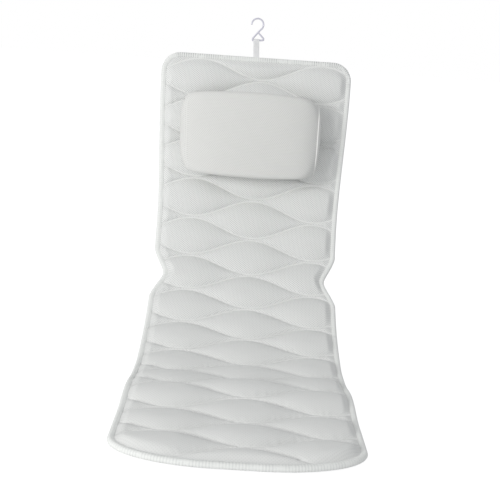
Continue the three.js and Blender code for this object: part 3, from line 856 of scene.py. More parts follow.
    def straight_half(self, along: Array, inset: float) -> Array:
        """Half the mat's width before its corners are rounded, drawn in by an inset."""
        return self.width / 2.0 + self.widening(along) - inset - self.notch(along)

    def half_width(self, along: Array, inset: float) -> Array:
        """Half the mat's width, drawn in by an inset all round: each corner follows its own ellipse.

        Args:
            along: Lengths down the mat.
            inset: How far the outline is drawn in.

        Returns:
            The half widths.
        """
        wide, long, end = self.corner(along, inset)
        short = np.clip(1.0 - end / long, 0.0, 1.0)
        return self.straight_half(along, inset) - wide + wide * np.sqrt(1.0 - short * short)

    def edge_distance(self, across: Array, along: Array, inset: float) -> Array:
        """Distance in to the outline: to the side or the end, or in a corner by the slope of its ellipse.

        Args:
            across: Distances from the middle line.
            along: Lengths down the mat.
            inset: How far the outline is drawn in.

        Returns:
            The distances.
        """
        wide, long, end = self.corner(along, inset)
        side = self.straight_half(along, inset) - np.abs(across)
        u, v = 1.0 - side / wide, 1.0 - end / long
        radius = np.hypot(u, v)
        sloped = (1.0 - radius) * radius / np.maximum(np.hypot(u / wide, v / long), 1e-9)
        return np.where((u > 0.0) & (v > 0.0), sloped, np.minimum(side, end))

    def corner_line(self, at_top: bool, spacing: float) -> Array:
        """The outline's right corner at one end, walked down the mat.

        Args:
            at_top: Whether it is the top corner.
            spacing: Greatest distance between points.

        Returns:
            Across and along of each point, one to a row.
        """
        wide = self.corner_radius if at_top else self.foot_rounding_width
        long = self.corner_radius if at_top else self.foot_rounding_length
        centre = long if at_top else self.length - long
        quarter = np.linspace(0.0, np.pi / 2.0, 1 + math.ceil((wide + long) / 2.0 * math.pi / 2.0 / spacing))
        turn = np.pi / 2.0 - quarter if at_top else quarter
        middle = float(self.straight_half(np.array(centre), 0.0)) - wide
        along = centre + (-long if at_top else long) * np.sin(turn)
        return np.stack([middle + wide * np.cos(turn), along], axis=-1)

    def outline(self, start: float, end: float, spacing: float) -> Array:
        """The mat's outline down its right side, from the middle of an end or from a cut to another.

        Args:
            start: First length down the mat, where 0 is the middle of the top edge.
            end: Last length down the mat.
            spacing: Greatest distance between points.

        Returns:
            Across and along of each point, one to a row.
        """
        parts = []
        if start <= 0.0:
            corner = self.corner_line(True, spacing)
            run = np.linspace(0.0, corner[0, 0], 1 + math.ceil(corner[0, 0] / spacing))[:-1]
            parts += [np.stack([run, np.zeros_like(run)], axis=-1), corner[:-1]]
        low, high = max(start, self.corner_radius), min(end, self.length - self.foot_rounding_length)
        side = np.linspace(low, high, 1 + math.ceil((high - low) / spacing))
        parts.append(np.stack([self.half_width(side, 0.0), side], axis=-1))
        if end >= self.length:
            corner = self.corner_line(False, spacing)
            run = np.linspace(corner[-1, 0], 0.0, 1 + math.ceil(corner[-1, 0] / spacing))[1:]
            parts += [corner[1:], np.stack([run, np.full_like(run, self.length)], axis=-1)]
        return np.concatenate(parts)


@dataclass(frozen=True)
class QuiltPattern:
    """Wavy quilting seams, alternate ones turned over, so that each pair holds a row of leaves."""

    count: int = 26
    first: float = 0.031
    last_margin: float = 0.0365
    wave: float = 0.0195
    wave_length: float = 0.268
    shift: float = 0.011
    mat_length: float = 1.18
    end_inset: float = 0.0085

    @property
    def pitch(self) -> float:
        """Mean distance between seams."""
        return (self.mat_length - self.first - self.last_margin) / (self.count - 1)

    def seam(self, index: Array | int, across: Array) -> Array:
        """Where a seam lies: its own mean line and a cosine across the mat, turned over for odd seams.

        Args:
            index: Numbers of the seams.
            across: Distances from the middle line.

        Returns:
            Lengths down the mat.
        """
        sign = 1.0 - 2.0 * (np.asarray(index) % 2)
        turn = FULL_TURN * (across - self.shift) / self.wave_length
        return self.first + np.asarray(index) * self.pitch + sign * self.wave * np.cos(turn)

    def band(self, index: Array, across: Array) -> tuple[Array, Array]:
        """The two edges of a band between seams, or between a seam and an end of the mat.

        Args:
            index: Numbers of the bands, where band n ends at seam n.
            across: Distances from the middle line.

        Returns:
            Lengths down the mat of both edges.
        """
        low = np.where(index == 0, self.end_inset, self.seam(index - 1, across))
        end = self.mat_length - self.end_inset
        high = np.where(index == self.count, end, self.seam(index, across))
        return np.maximum(low, self.end_inset), np.minimum(high, end)


class Half(Enum):
    """The two pieces of the padded mat, which meet in a sunk seam of the seat."""

    UPPER = (0, 14)
    LOWER = (15, 26)

    @property
    def bands(self) -> tuple[int, int]:
        """Numbers of the first and the last band."""
        return self.value


@dataclass
class QuiltedMat:
    """The padded mat: leaves swollen between sunk seams above, and a nearly flat underside."""

    shape: MatShape
    pattern: QuiltPattern
    knit: MeshKnit
    side_inset: float = 0.0085
    seam_height: float = 0.0088
    seam_flat: float = 0.0011
    crown: float = 0.0142
    fullness_power: float = 0.72
    width_power: float = 0.7
    edge_taper: float = 0.017
    rows_per_band: int = 15
    columns: int = 139
    rounds: int = 6
    row_easing: float = 0.11
    column_easing: float = 0.02
    unevenness: float = 0.07
    uneven_cells: float = 21.0
    pucker_height: float = 0.0006
    pucker_pitch: float = 0.0125
    pucker_reach: float = 0.012
    pucker_start: float = 0.003
    pucker_peak: float = 0.35
    pucker_narrowness: float = 5.0
    pucker_wander: float = 2.2
    wander_cells: Pair = (45.0, 30.0)
    pucker_strengths: Pair = (0.6, 0.8)
    strength_cells: Pair = (30.0, 60.0)
    dimple: float = 0.0006
    under_height: float = 0.0007
    seat_height: float = 0.019
    strip_places: Pair = (0.136, 0.22)
    strip_half_length: float = 0.1
    strip_half_width: float = 0.0125
    strip_margin: float = 0.001
    strip_rise: float = 0.004
    strip_easing: float = 0.014
    pillow_height: float = 0.0224
    calm_from: float = 0.42
    calm_length: float = 0.42

    def grid(self, half: Half) -> tuple[Array, Array, Array, Array]:
        """Rows that follow the seams and columns that share out the mat's width.

        A row lies at a share of its band, closer together near the seams. Its place and the mat's width there
        depend on each other, so they are worked out in a few rounds.

        Args:
            half: Which piece of the mat.

        Returns:
            Across, along, the share within the band and the width of the band, each rows by columns.
        """
        first, last = half.bands
        steps = np.arange(self.rows_per_band) / self.rows_per_band
        eased = steps - self.row_easing * np.sin(FULL_TURN * steps)
        bands = np.append(np.repeat(np.arange(first, last + 1), self.rows_per_band), last)[:, None]
        shares = np.append(np.tile(eased, last - first + 1), 1.0)[:, None]
        columns = np.linspace(-1.0, 1.0, self.columns)[None, :]
        spread = columns + self.column_easing * np.sin(np.pi * columns)
        along = np.full((len(shares), self.columns), self.shape.length / 2.0)
        for _ in range(self.rounds):
            across = spread * self.shape.half_width(along, self.side_inset)
            low, high = self.pattern.band(bands, across)
            along = low + shares * (high - low)
        return across, along, np.broadcast_to(shares, along.shape), high - low

    def height(self, across: Array, along: Array, share: Array, width: Array) -> Array:
        """Height of the quilted face over the mat's underside.

        Each leaf swells as a power of 4t(1-t) between the flat strips of its seams, more in a wide band, thins
        out at the mat's edges, and is puckered close to its seams. Under the head pillow it is pressed level.

        Args:
            across: Distances from the middle line.
            along: Lengths down the mat.
            share: Share of the way across the band.
            width: Width of the band.

        Returns:
            The heights.
        """
        widest = self.pattern.pitch + 2.0 * self.pattern.wave
        full = np.clip(width / widest, 0.0, 1.0) ** self.width_power
        free = np.maximum(width - 2.0 * self.seam_flat, 1e-6)
        inside = np.clip((share * width - self.seam_flat) / free, 0.0, 1.0)
        swell = full * (4.0 * inside * (1.0 - inside)) ** self.fullness_power
        edge = self.shape.edge_distance(across, along, self.side_inset)
        taper = smooth(edge / self.edge_taper)
        soft = 1.0 + self.unevenness * hashed_noise(across * self.uneven_cells, along * self.uneven_cells, 3)
        seam = np.minimum(share, 1.0 - share) * width
        near = np.exp(-((seam / self.pucker_reach - self.pucker_peak) ** 2) * self.pucker_narrowness)
        near = near * smooth(seam / self.pucker_start)
        wander = hashed_noise(across * self.wander_cells[0], along * self.wander_cells[1], 5)
        change = np.abs(hashed_noise(across * self.strength_cells[0], along * self.strength_cells[1], 7))
        phase = across / self.pucker_pitch + self.pucker_wander * wander
        pucker = np.sin(FULL_TURN * phase) * (self.pucker_strengths[0] + self.pucker_strengths[1] * change)
        raised = self.crown * swell * taper * soft + self.pucker_height * pucker * near * taper
        return self.pressed(across, along, self.seam_height + raised)

    def pressed(self, across: Array, along: Array, height: Array) -> Array:
        """Hold the face down where the pillow and its two fastening strips lie on it.

        Args:
            across: Distances from the middle line.
            along: Lengths down the mat.
            height: Free heights.

        Returns:
            Heights that stay under what lies on them.
        """
        limit = np.full_like(height, self.pillow_height)
        for place in self.strip_places:
            beyond = np.abs(across) - self.strip_half_length
            outside = np.maximum(beyond, np.abs(along - place) - self.strip_half_width)
            rise = self.strip_rise * smooth((outside - self.strip_margin) / self.strip_easing)
            limit = np.minimum(limit, self.seat_height + rise)
        return np.minimum(height, limit)

    def build_half(self, half: Half, material: bpy.types.Material) -> bpy.types.Object:
        """Make one closed piece: the quilted face, the underside and a wall round both.

        Args:
            half: Which piece of the mat.
            material: Its material.

        Returns:
            The piece.
        """
        across, along, share, width = self.grid(half)
        under = self.under_height - self.dimple * (4.0 * share * (1.0 - share)) ** 0.5
        heights = (self.height(across, along, share, width), under)
        points = [self.shape.place(across, along, height) for height in heights]
        count = across.size
        ids = np.arange(count).reshape(across.shape)
        ring = np.concatenate([ids[0], ids[1:, -1], ids[-1, -2::-1], ids[-2:0:-1, 0]])
        after = np.roll(ring, -1)
        wall = np.stack([ring, after, after + count, ring + count], axis=-1)
        face = grid_quads(*across.shape)[:, ::-1]
        seam = np.minimum(share, 1.0 - share) * width
        # The calm mark calms the holes and paints shade on the yarn towards the foot.
        calm = smooth((along - self.calm_from) / self.calm_length)
        return make_piece(
            f"quilted_mat_{half.name.lower()}",
            np.array(points),
            [face, face[:, ::-1] + count, wall],
            np.array([paired(across, along)] * 2),
            {"seam": np.array([seam] * 2), "calm": np.array([calm] * 2)},
            material,
        )

    def build(self) -> None:
        """Make both pieces and bake each one's place into its mesh."""
        material = self.knit.material()
        for half, names in ((Half.UPPER, ("back", "seat")), (Half.LOWER, ("seat", "leg"))):
            piece = self.build_half(half, material)
            layers = [f"{name}_{part}" for name in names for part in ("quilt", "filling", "backing")]
            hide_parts(*layers)
            Folds(self.shape).bend(piece, half)
            LOG.info("%s: %d faces", piece.name, len(piece.data.polygons))


@dataclass(frozen=True)
class Folds:
    """The two stretches over which the mat bends."""

    shape: MatShape
    reach: float = 0.034
    height: float = 0.006

    def bend(self, piece: bpy.types.Object, half: Half) -> None:
        """Bake a piece's place into its mesh; the ends of its half's fold are worked out but not used.

        Args:
            piece: Finished mesh with no parent.
            half: Which half of the mat it belongs to.
        """
        fold = self.shape.waist_fold if half is Half.UPPER else self.shape.knee_fold
        ends = [self.shape.place(0.0, fold + side * self.reach, self.height) for side in (-1.0, 1.0)]
        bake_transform(piece)


@dataclass
class EdgeBinding:
    """The tape folded round the mat's edge, in two lengths that meet beside the quilt's own parting."""

    shape: MatShape
    pattern: QuiltPattern
    tape: EdgeTape
    width: float = 0.0108
    thickness: float = 0.0108
    spacing: float = 0.0028
    rib_height: float = 0.00009
    rounds: int = 6
    side_share: float = 0.1
    foot_share: float = 0.22
    top_reach: float = 0.02
    foot_reach: float = 0.06
    shown_easing: float = 0.05
    shown_at: tuple[float, ...] = (-0.2, -0.185, -0.1, -0.04, 0.0, 0.02, 0.07, 0.1, 0.13, 0.212)
    shown_shares: tuple[float, ...] = (0.1, 1.0, 0.8, 0.2, 0.1, 0.7, 0.6, 0.2, 1.0, 1.0)
    section_points: tuple[Pair, ...] = (
        (1.00, 0.86), (0.94, 0.92), (0.80, 0.92), (0.62, 0.98), (0.40, 0.98), (0.20, 0.88), (0.07, 0.70),
        (0.00, 0.48), (0.05, 0.28), (0.18, 0.11), (0.40, 0.02), (0.62, 0.00), (0.80, 0.04), (0.94, 0.00),
        (1.00, 0.03), (0.98, 0.14), (0.86, 0.30), (0.86, 0.66), (0.98, 0.84),
    )

    def section(self) -> Array:
        """The tape's rounded section: a closed smooth curve through its named points.

        Between two points the curve is the usual four-point cubic, which passes through both.

        Returns:
            Shares of the width and of the thickness, one pair to a row.
        """
        points = np.array(self.section_points)
        before, after, next_after = (np.roll(points, shift, axis=0) for shift in (1, -1, -2))
        t = np.array([0.0, 0.5])[None, :, None]
        p0, p1, p2, p3 = (p[:, None, :] for p in (before, points, after, next_after))
        curve = 0.5 * (
            2.0 * p1 + (p2 - p0) * t + (2.0 * p0 - 5.0 * p1 + 4.0 * p2 - p3) * t**2
            + (3.0 * p1 - p0 - 3.0 * p2 + p3) * t**3
        )
        return curve.reshape(-1, 2)

    def path(self, half: Half) -> Array:
        """The outline of one half of the mat, from the cut on its left to the cut on its right.

        Args:
            half: Which half.

        Returns:
            Across and along, one pair to a row.
        """
        sides = {}
        for sign in (-1.0, 1.0):
            cut = self.shape.length / 2.0
            for _ in range(self.rounds):
                half_width = float(self.shape.half_width(np.array(cut), 0.0))
                cut = float(self.pattern.seam(Half.UPPER.bands[1], np.array(sign * half_width)))
            span = (0.0, cut) if half is Half.UPPER else (cut, self.shape.length)
            sides[sign] = self.shape.outline(*span, self.spacing) * (sign, 1.0)
        if half is Half.UPPER:
            return np.concatenate([sides[-1.0][::-1][:-1], sides[1.0]])
        return np.concatenate([sides[1.0], sides[-1.0][::-1][1:]])[::-1]

    def build_half(self, half: Half, material: bpy.types.Material) -> bpy.types.Object:
        """Carry the section along the outline, square to it, and close both ends.

        Args:
            half: Which half.
            material: Its material.

        Returns:
            The piece.
        """
        path = self.path(half)
        out = ways_beside(path)
        if np.mean(np.sum(out * (path - (0.0, self.shape.length / 2.0)), axis=1)) < 0.0:
            out = -out
        out[[0, -1]] = np.sign(path[[0, -1], :1]) * (1.0, 0.0)
        section = self.section()
        wide, thick = section.T[:, None]
        length = walked(path)
        rib = self.rib_height * np.abs(np.sin(np.pi * length / self.tape.thread_pitch))[:, None]
        inset = self.width * wide - rib * (1.0 - wide)
        above = self.thickness * thick + rib * (thick - 0.5)
        across, along = (path[:, None, axis] - inset * out[:, None, axis] for axis in (0, 1))
        rings = self.shape.place(across, along, above)
        uv = paired(length[:, None], walked(section * (self.width, self.thickness))).reshape(-1, 2)
        shown = np.repeat(self.overlocked(path), len(section))
        return make_piece(
            f"edge_binding_{half.name.lower()}",
            with_middles(rings),
            fanned(*rings.shape[:2]),
            np.concatenate([uv, uv[:1], uv[-1:]]),
            {"overlock": np.concatenate([shown, shown[:1], shown[-1:]])},
            material,
        )

    def overlocked(self, path: Array) -> Array:
        """How much the overlocking threads and the painted shade between them show: a table across the top edge,
        little at the foot and the sides.

        Args:
            path: Across and along of the outline's points, one pair to a row.

        Returns:
            Shares from 0 to 1, one to a point.
        """
        across, along = path.T
        top = 1.0 - smooth((along - self.top_reach) / self.shown_easing)
        top = top * np.interp(across, self.shown_at, self.shown_shares)
        foot = smooth((along - self.shape.length + self.foot_reach) / self.shown_easing)
        return np.clip(self.side_share + (1.0 - self.side_share) * top + self.foot_share * foot, 0.0, 1.0)

    def build(self) -> None:
        """Make both lengths and bake each one's place into its mesh."""
        seat_sides = ("seat_binding_left", "seat_binding_right")
        material = self.tape.material()
        for half, node in ((Half.UPPER, "back_binding"), (Half.LOWER, "leg_binding")):
            piece = self.build_half(half, material)
            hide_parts(node, *seat_sides)
            Folds(self.shape).bend(piece, half)
            LOG.info("%s: %d faces", piece.name, len(piece.data.polygons))


@dataclass
class HeadPillow:
    """The head pillow: a wrapped cover between two end panels, blown up as cloth, with a welt at each end."""

    shape: MatShape
    knit: MeshKnit
    welt: EdgeTape
    width: float = 0.284
    height: float = 0.184
    depth: float = 0.08
    from_top: float = 0.178
    base: float = 0.0229
    roundness: float = 0.1
    end_roundness: Pair = (0.28, 0.6)
    front_reach: Pair = (-0.0045, 0.0125)
    crown_drop: float = 0.13
    drawn_in: float = 0.08
    end_drop: Pair = (0.01, 0.075)
    end_fall: Pair = (0.1, 0.17)
    fall_power: Pair = (2.0, 4.0)
    top_left_reach: float = 0.0045
    left_bow: tuple[float, float, float] = (0.004, 0.002, -0.005)
    right_bow: tuple[float, float, float] = (-0.005, 0.0, -0.003)
    bulges: Pair = (0.0185, 0.006)
    bulge_powers: Pair = (4.0, 5.0)
    fade_powers: tuple[int, int, int] = (5, 6, 4)
    end_shrink: float = 0.96
    end_power: float = 1.4
    back_inset_share: float = 0.3
    start_inset: float = 0.0035
    seam_inset: float = 0.0012
    welt_radii: Pair = (0.0012, 0.0017)
    welt_sunk: Pair = (1.15, -0.2)
    welt_sides: int = 12
    welt_shown: float = 0.1
    ring_points: int = 96
    stations: int = 61
    end_rings: int = 13
    pressure: float = 3.0
    frames: int = 16
    end_uv_away: float = 0.05
    end_uv_shift: float = 0.4
    crease: float = 0.012
    crease_hold: float = 0.9
    swell_limit: float = 0.0045
    easing: int = 8

    def section(self, station: Array, offset: float) -> Array:
        """Closed D sections: a rounded front whose sine and cosine are raised to a power, and a flat back.

        The front face reaches a little less far up and further down than the back.

        Args:
            station: Place from the middle, 0, to an end seam, 1 or -1.
            offset: How far the section is drawn in.

        Returns:
            Up and out of each point, stations by points by two.
        """
        fallen = np.minimum(station * station, 1.0)[:, None]
        side = (station > 0.0).astype(int)
        pairs = (self.end_drop, self.end_roundness, self.end_fall, self.fall_power)
        end_drop, end_roundness, end_fall, fall_power = (np.array(pair)[side, None] for pair in pairs)
        corner_power, round_power, _ = self.fade_powers
        corner, edge = end_drop * fallen**corner_power, end_fall * fallen**fall_power
        front = (self.ring_points * 3) // 4
        angle = np.linspace(-np.pi / 2.0, np.pi / 2.0, front)[None, :]
        power = self.roundness + (end_roundness - self.roundness) * fallen**round_power
        rounded = np.sign(np.sin(angle)) * np.abs(np.sin(angle)) ** power
        forward = np.maximum(np.cos(angle), 0.0) ** power
        half = self.height / 2.0 * (1.0 - self.drawn_in * fallen - corner) - offset
        depth = self.depth * (1.0 - self.crown_drop * fallen - edge) - offset
        back = np.linspace(1.0, -1.0, self.ring_points - front + 2)[1:-1][None, :]
        up = np.concatenate([half * rounded, half * back], axis=1)
        out = np.concatenate([depth * forward, np.zeros_like(half * back)], axis=1)
        top_reach = self.front_reach[0] + self.top_left_reach * fallen**2 * (station < 0.0)[:, None]
        reach = np.where(up > 0.0, top_reach, self.front_reach[1])
        up = up * (1.0 + reach / half * out / depth)
        return np.stack([up, out + offset * self.back_inset_share], axis=-1)

    def even_section(self, station: Array, offset: float) -> Array:
        """The same sections with points an equal distance apart, which cloth needs.

        Args:
            station: Places from the middle, 0, to an end seam, 1 or -1.
            offset: How far the sections are drawn in.

        Returns:
            Up and out of each point, stations by points by two.
        """
        rings = self.section(station, offset)
        closed = np.concatenate([rings, rings[:, :1]], axis=1)
        even = np.linspace(0.0, 1.0, self.ring_points + 1)[:-1]
        return np.array([points_at(ring, even * walked(ring)[-1]) for ring in closed])

    def form(self) -> tuple[Array, Array]:
        """The pillow before it is blown up: sections along it, and rings that close each end.

        An end ring is the end section drawn together towards its middle, pushed out by its end's bulge times one
        less a power of its size. The ends bow: each is shifted along by a parabola through three places, at its
        bottom, middle and top, and the shift fades with the fourth power of the distance from the end.

        Returns:
            Points on the pillow, rows by ring points by three, and each row's place from -1 to 1.
        """
        reach = self.width / 2.0 - self.seam_inset
        station = np.linspace(-1.0, 1.0, self.stations)
        body = self.even_section(station, self.start_inset)
        t = body[..., :1] / np.abs(body[..., :1]).max()
        bows = np.where((station < 0.0)[:, None], self.left_bow, self.right_bow)[:, None, :]
        weights = np.concatenate([t * (t - 1.0) / 2.0, 1.0 - t * t, t * (t + 1.0) / 2.0], axis=-1)
        bow = np.sum(bows * weights, axis=-1, keepdims=True)
        along = station[:, None, None] * reach + bow * station[:, None, None] ** self.fade_powers[2]
        rings = np.concatenate([along, body], axis=-1)
        sizes = 1.0 - self.end_shrink * np.linspace(0.0, 1.0, self.end_rings)[1:] ** self.end_power
        caps = []
        ends = zip((-1.0, 1.0), (rings[0], rings[-1]), self.bulges, self.bulge_powers, strict=True)
        for sign, ring, bulge, power in ends:
            middle = np.array([ring[:, 0].mean(), 0.0, ring[:, 2].max() / 2.0])
            shrunk = middle + (ring - middle)[None] * sizes[:, None, None]
            shrunk[..., 0] += (sign * bulge * (1.0 - sizes**power))[:, None]
            caps.append(shrunk)
        rows = np.concatenate([caps[0][::-1], rings, caps[1]])
        place = np.concatenate([-2.0 + sizes[::-1], station, 2.0 - sizes])
        return rows, place

    def on_mat(self, points: Array) -> Array:
        """Put points given as across, up the mat and out from it onto the pillow's place."""
        return self.shape.stand(points, 0.0, self.from_top, self.base)

    def eased(self, moved: Array, rows: int) -> Array:
        """Even out how far the cover moved, so that no dent is left: each point takes a share of its neighbours'.

        Args:
            moved: Movement of every point, row by row, then of the two points that close the ends.
            rows: Number of rows.

        Returns:
            The movement, evened out.
        """
        grid = moved[:-2].reshape(rows, -1, 3)
        for _ in range(self.easing):
            grid = grid / 2.0 + (np.roll(grid, 1, axis=1) + np.roll(grid, -1, axis=1)) / 4.0
            wide = np.concatenate([grid[:1], grid, grid[-1:]])
            grid = grid / 2.0 + (wide[2:] + wide[:-2]) / 4.0
        return with_middles(grid)

    def blow_up(self, piece: bpy.types.Object, held: Array, rows: int) -> None:
        """Let the cover swell as cloth under a small pressure, no point further than the limit.

        Args:
            piece: The closed cover.
            held: How firmly each vertex is held, from 0 to 1.
            rows: Number of rows of points on the cover.
        """
        rest = read_points(piece)
        group = piece.vertex_groups.new(name="held")
        for weight in np.unique(np.round(held, 2)):
            chosen = np.flatnonzero(np.isclose(np.round(held, 2), weight))
            group.add(chosen.tolist(), float(weight), "REPLACE")
        cloth = piece.modifiers.new("swelling", "CLOTH")
        settings = cloth.settings
        settings.quality = 6
        settings.mass = 0.3
        settings.use_pressure = True
        settings.uniform_pressure_force = self.pressure
        settings.tension_stiffness = 18.0
        settings.compression_stiffness = 12.0
        settings.shear_stiffness = 6.0
        settings.bending_stiffness = 0.6
        settings.vertex_group_mass = "held"
        settings.effector_weights.gravity = 0.0
        cloth.point_cache.frame_start = 1
        cloth.point_cache.frame_end = self.frames
        scene = bpy.context.scene
        for frame in range(1, self.frames + 1):
            scene.frame_set(frame)
        apply_modifiers(piece)
        scene.frame_set(1)
        moved = read_points(piece) - rest
        size = np.linalg.norm(moved, axis=1, keepdims=True)
        factor = self.swell_limit * np.tanh(size / self.swell_limit) / np.maximum(size, 1e-9)
        write_points(piece, rest + self.eased(moved * factor, rows) * (held < 0.99)[:, None])

    def build(self) -> None:
        """Make the cover, blow it up, then lay a welt round each of its end seams."""
        rows, place = self.form()
        count, size = rows.shape[:2]
        on_end, half = np.abs(place) > 1.0, self.width / 2.0
        along = np.where(on_end, np.sign(place) * (half + self.end_uv_away), place * half)
        uv = with_middles(paired(along[:, None], walked(rows[count // 2])))
        cover = make_piece("head_pillow_body", self.on_mat(with_middles(rows)), fanned(count, size), uv)
        flat = with_middles(rows[..., 1:3] + self.end_uv_shift)
        self.part_weave(cover, flat, np.append(np.repeat(on_end, size), [True, True]))
        self.blow_up(cover, self.holding(rows, on_end), count)
        divided = cover.modifiers.new("finer", "SUBSURF")
        divided.levels = divided.render_levels = 1
        apply_modifiers(cover)
        seams = read_points(cover)[: count * size].reshape(count, size, 3)[np.isclose(np.abs(place), 1.0)]
        cover.data.materials.clear()
        cover.data.materials.append(self.knit.material())
        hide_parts("pillow_cover", "pillow_foam", "pillow_back_panel", "pillow_end_left", "pillow_end_right")
        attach(cover, "head_pillow")
        material = self.welt.material()
        sides = zip(("left", "right"), seams, self.welt_radii, self.welt_sunk, strict=True)
        for side, line, radius, sunk in sides:
            welt = self.welt_along(f"pillow_welt_{side}", line, radius, sunk, material)
            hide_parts(f"pillow_piping_{side}")
            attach(welt, "head_pillow")
        LOG.info("head pillow: %d faces", len(cover.data.polygons))

    def holding(self, rows: Array, on_end: Array) -> Array:
        """How firmly each point is held while the cover swells: fully at the back, nearly so along two creases.

        Args:
            rows: The pillow's points in its own frame, rows by ring points by three.
            on_end: Which rows belong to an end panel, its seam left out.

        Returns:
            Shares from 0 to 1, one to a vertex.
        """
        up, out = rows[..., 1], rows[..., 2]
        lowest, highest = up.min(axis=1, keepdims=True), up.max(axis=1, keepdims=True)
        crease = (up < lowest + self.crease) | (up > highest - self.crease)
        crease &= (out > out.max(axis=1, keepdims=True) - self.crease) & ~on_end[:, None]
        on_back = np.isclose(out, out.min(), atol=1e-4)
        return np.append(np.maximum(on_back * 1.0, crease * self.crease_hold), [0.0, 0.0])

    def part_weave(self, piece: bpy.types.Object, flat: Array, on_end: Array) -> None:
        """Give every face of an end panel flat places of its own, so that no weave is stretched over the seam.

        Args:
            piece: The closed cover.
            flat: Flat place of each vertex on its end panel.
            on_end: Which vertices belong to an end panel, its seam left out.
        """
        mesh = piece.data
        corners, starts = np.zeros(len(mesh.loops), np.int32), np.zeros(len(mesh.polygons), np.int32)
        mesh.loops.foreach_get("vertex_index", corners)
        mesh.polygons.foreach_get("loop_start", starts)
        sizes = np.diff(np.append(starts, len(corners)))
        touching = np.repeat(np.logical_or.reduceat(on_end[corners], starts), sizes)
        layer = mesh.uv_layers["weave"].data
        uv = np.zeros(len(corners) * 2, np.float32)
        layer.foreach_get("uv", uv)
        uv = np.where(touching[:, None], flat[corners], uv.reshape(-1, 2))
        layer.foreach_set("uv", uv.astype(np.float32).ravel())

    def welt_along(
        self, name: str, line: Array, radius: float, sunk: float, material: bpy.types.Material
    ) -> bpy.types.Object:
        """Carry a round cord along a closed seam.

        Args:
            name: Name of the piece.
            line: Points of the seam in order.
            radius: Radius of the cord.
            sunk: How far the cord is sunk in, as a share of its radius.
            material: Its material.

        Returns:
            The piece.
        """
        out = np.cross(ways_along(line, True), ACROSS)
        out = unit(out * np.sign(np.sum(out * (line - line.mean(0)), axis=1, keepdims=True)))
        angle = turns(self.welt_sides)
        reach = np.cos(angle)[:, None] * out[:, None] + np.sin(angle)[:, None] * ACROSS
        rings = (line - out * radius * sunk)[:, None] + radius * reach
        rows, size = rings.shape[:2]
        quads = grid_quads(rows + 1, size, True) % (rows * size)
        length = walked(np.concatenate([line, line[:1]]))[:-1]
        shown = {"overlock": np.full(rows * size, self.welt_shown)}
        return make_piece(name, rings, [quads], paired(length[:, None], angle * radius), shown, material)


@dataclass
class FasteningStrips:
    """Touch-fastening strips: a pair of loop strips on the mat and a pair of hook strips on the pillow."""

    shape: MatShape
    loops: TouchTape
    hooks: TouchTape
    length: float = 0.2
    width: float = 0.025
    thickness: float = 0.0015
    corner: float = 0.003
    bases: Pair = (0.0193, 0.0211)
    places: tuple[tuple[str, float], ...] = (("upper", 0.136), ("lower", 0.22))
    edge: float = 0.0004
    outline_points: int = 48
    levels: tuple[Pair, ...] = ((0.0, 0.0), (0.06, 0.85), (0.25, 1.0), (0.75, 1.0), (0.94, 0.85), (1.0, 0.0))

    def strip(self, name: str, along: float, base: float, material: bpy.types.Material) -> bpy.types.Object:
        """A flat strip with rounded corners and soft edges: an outline drawn in at its faces.

        Args:
            name: Name of the piece.
            along: Length down the mat of its middle.
            base: Height over the mat's underside.
            material: Its material.

        Returns:
            The piece.
        """
        turn = turns(self.outline_points)
        corner = np.stack([np.cos(turn), np.sin(turn)], axis=-1)
        middle = np.sign(corner + 1e-9) * (np.array([self.length, self.width]) / 2.0 - self.corner)
        rings = []
        for share, reach in self.levels:
            line = middle + corner * (self.corner - self.edge * (1.0 - reach))
            rings.append(np.insert(line, 2, base + share * self.thickness, axis=1))
        rows = np.array(rings)
        points = self.shape.stand(rows * (1.0, -1.0, 1.0), 0.0, along)
        return make_piece(name, points, lidded(*rows.shape[:2]), rows[..., :2], None, material)

    def build(self) -> None:
        """Make the four strips and fix each to what it is sewn to."""
        sides = (
            ("loop", self.loops.material(), self.bases[0], "back_section"),
            ("hook", self.hooks.material(), self.bases[1], "head_pillow"),
        )
        for kind, material, base, body in sides:
            for name, along in self.places:
                piece = self.strip(f"{kind}_tape_{name}", along, base, material)
                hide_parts(f"{kind}_strip_{name}")
                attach(piece, body)
        LOG.info("fastening strips: 4")


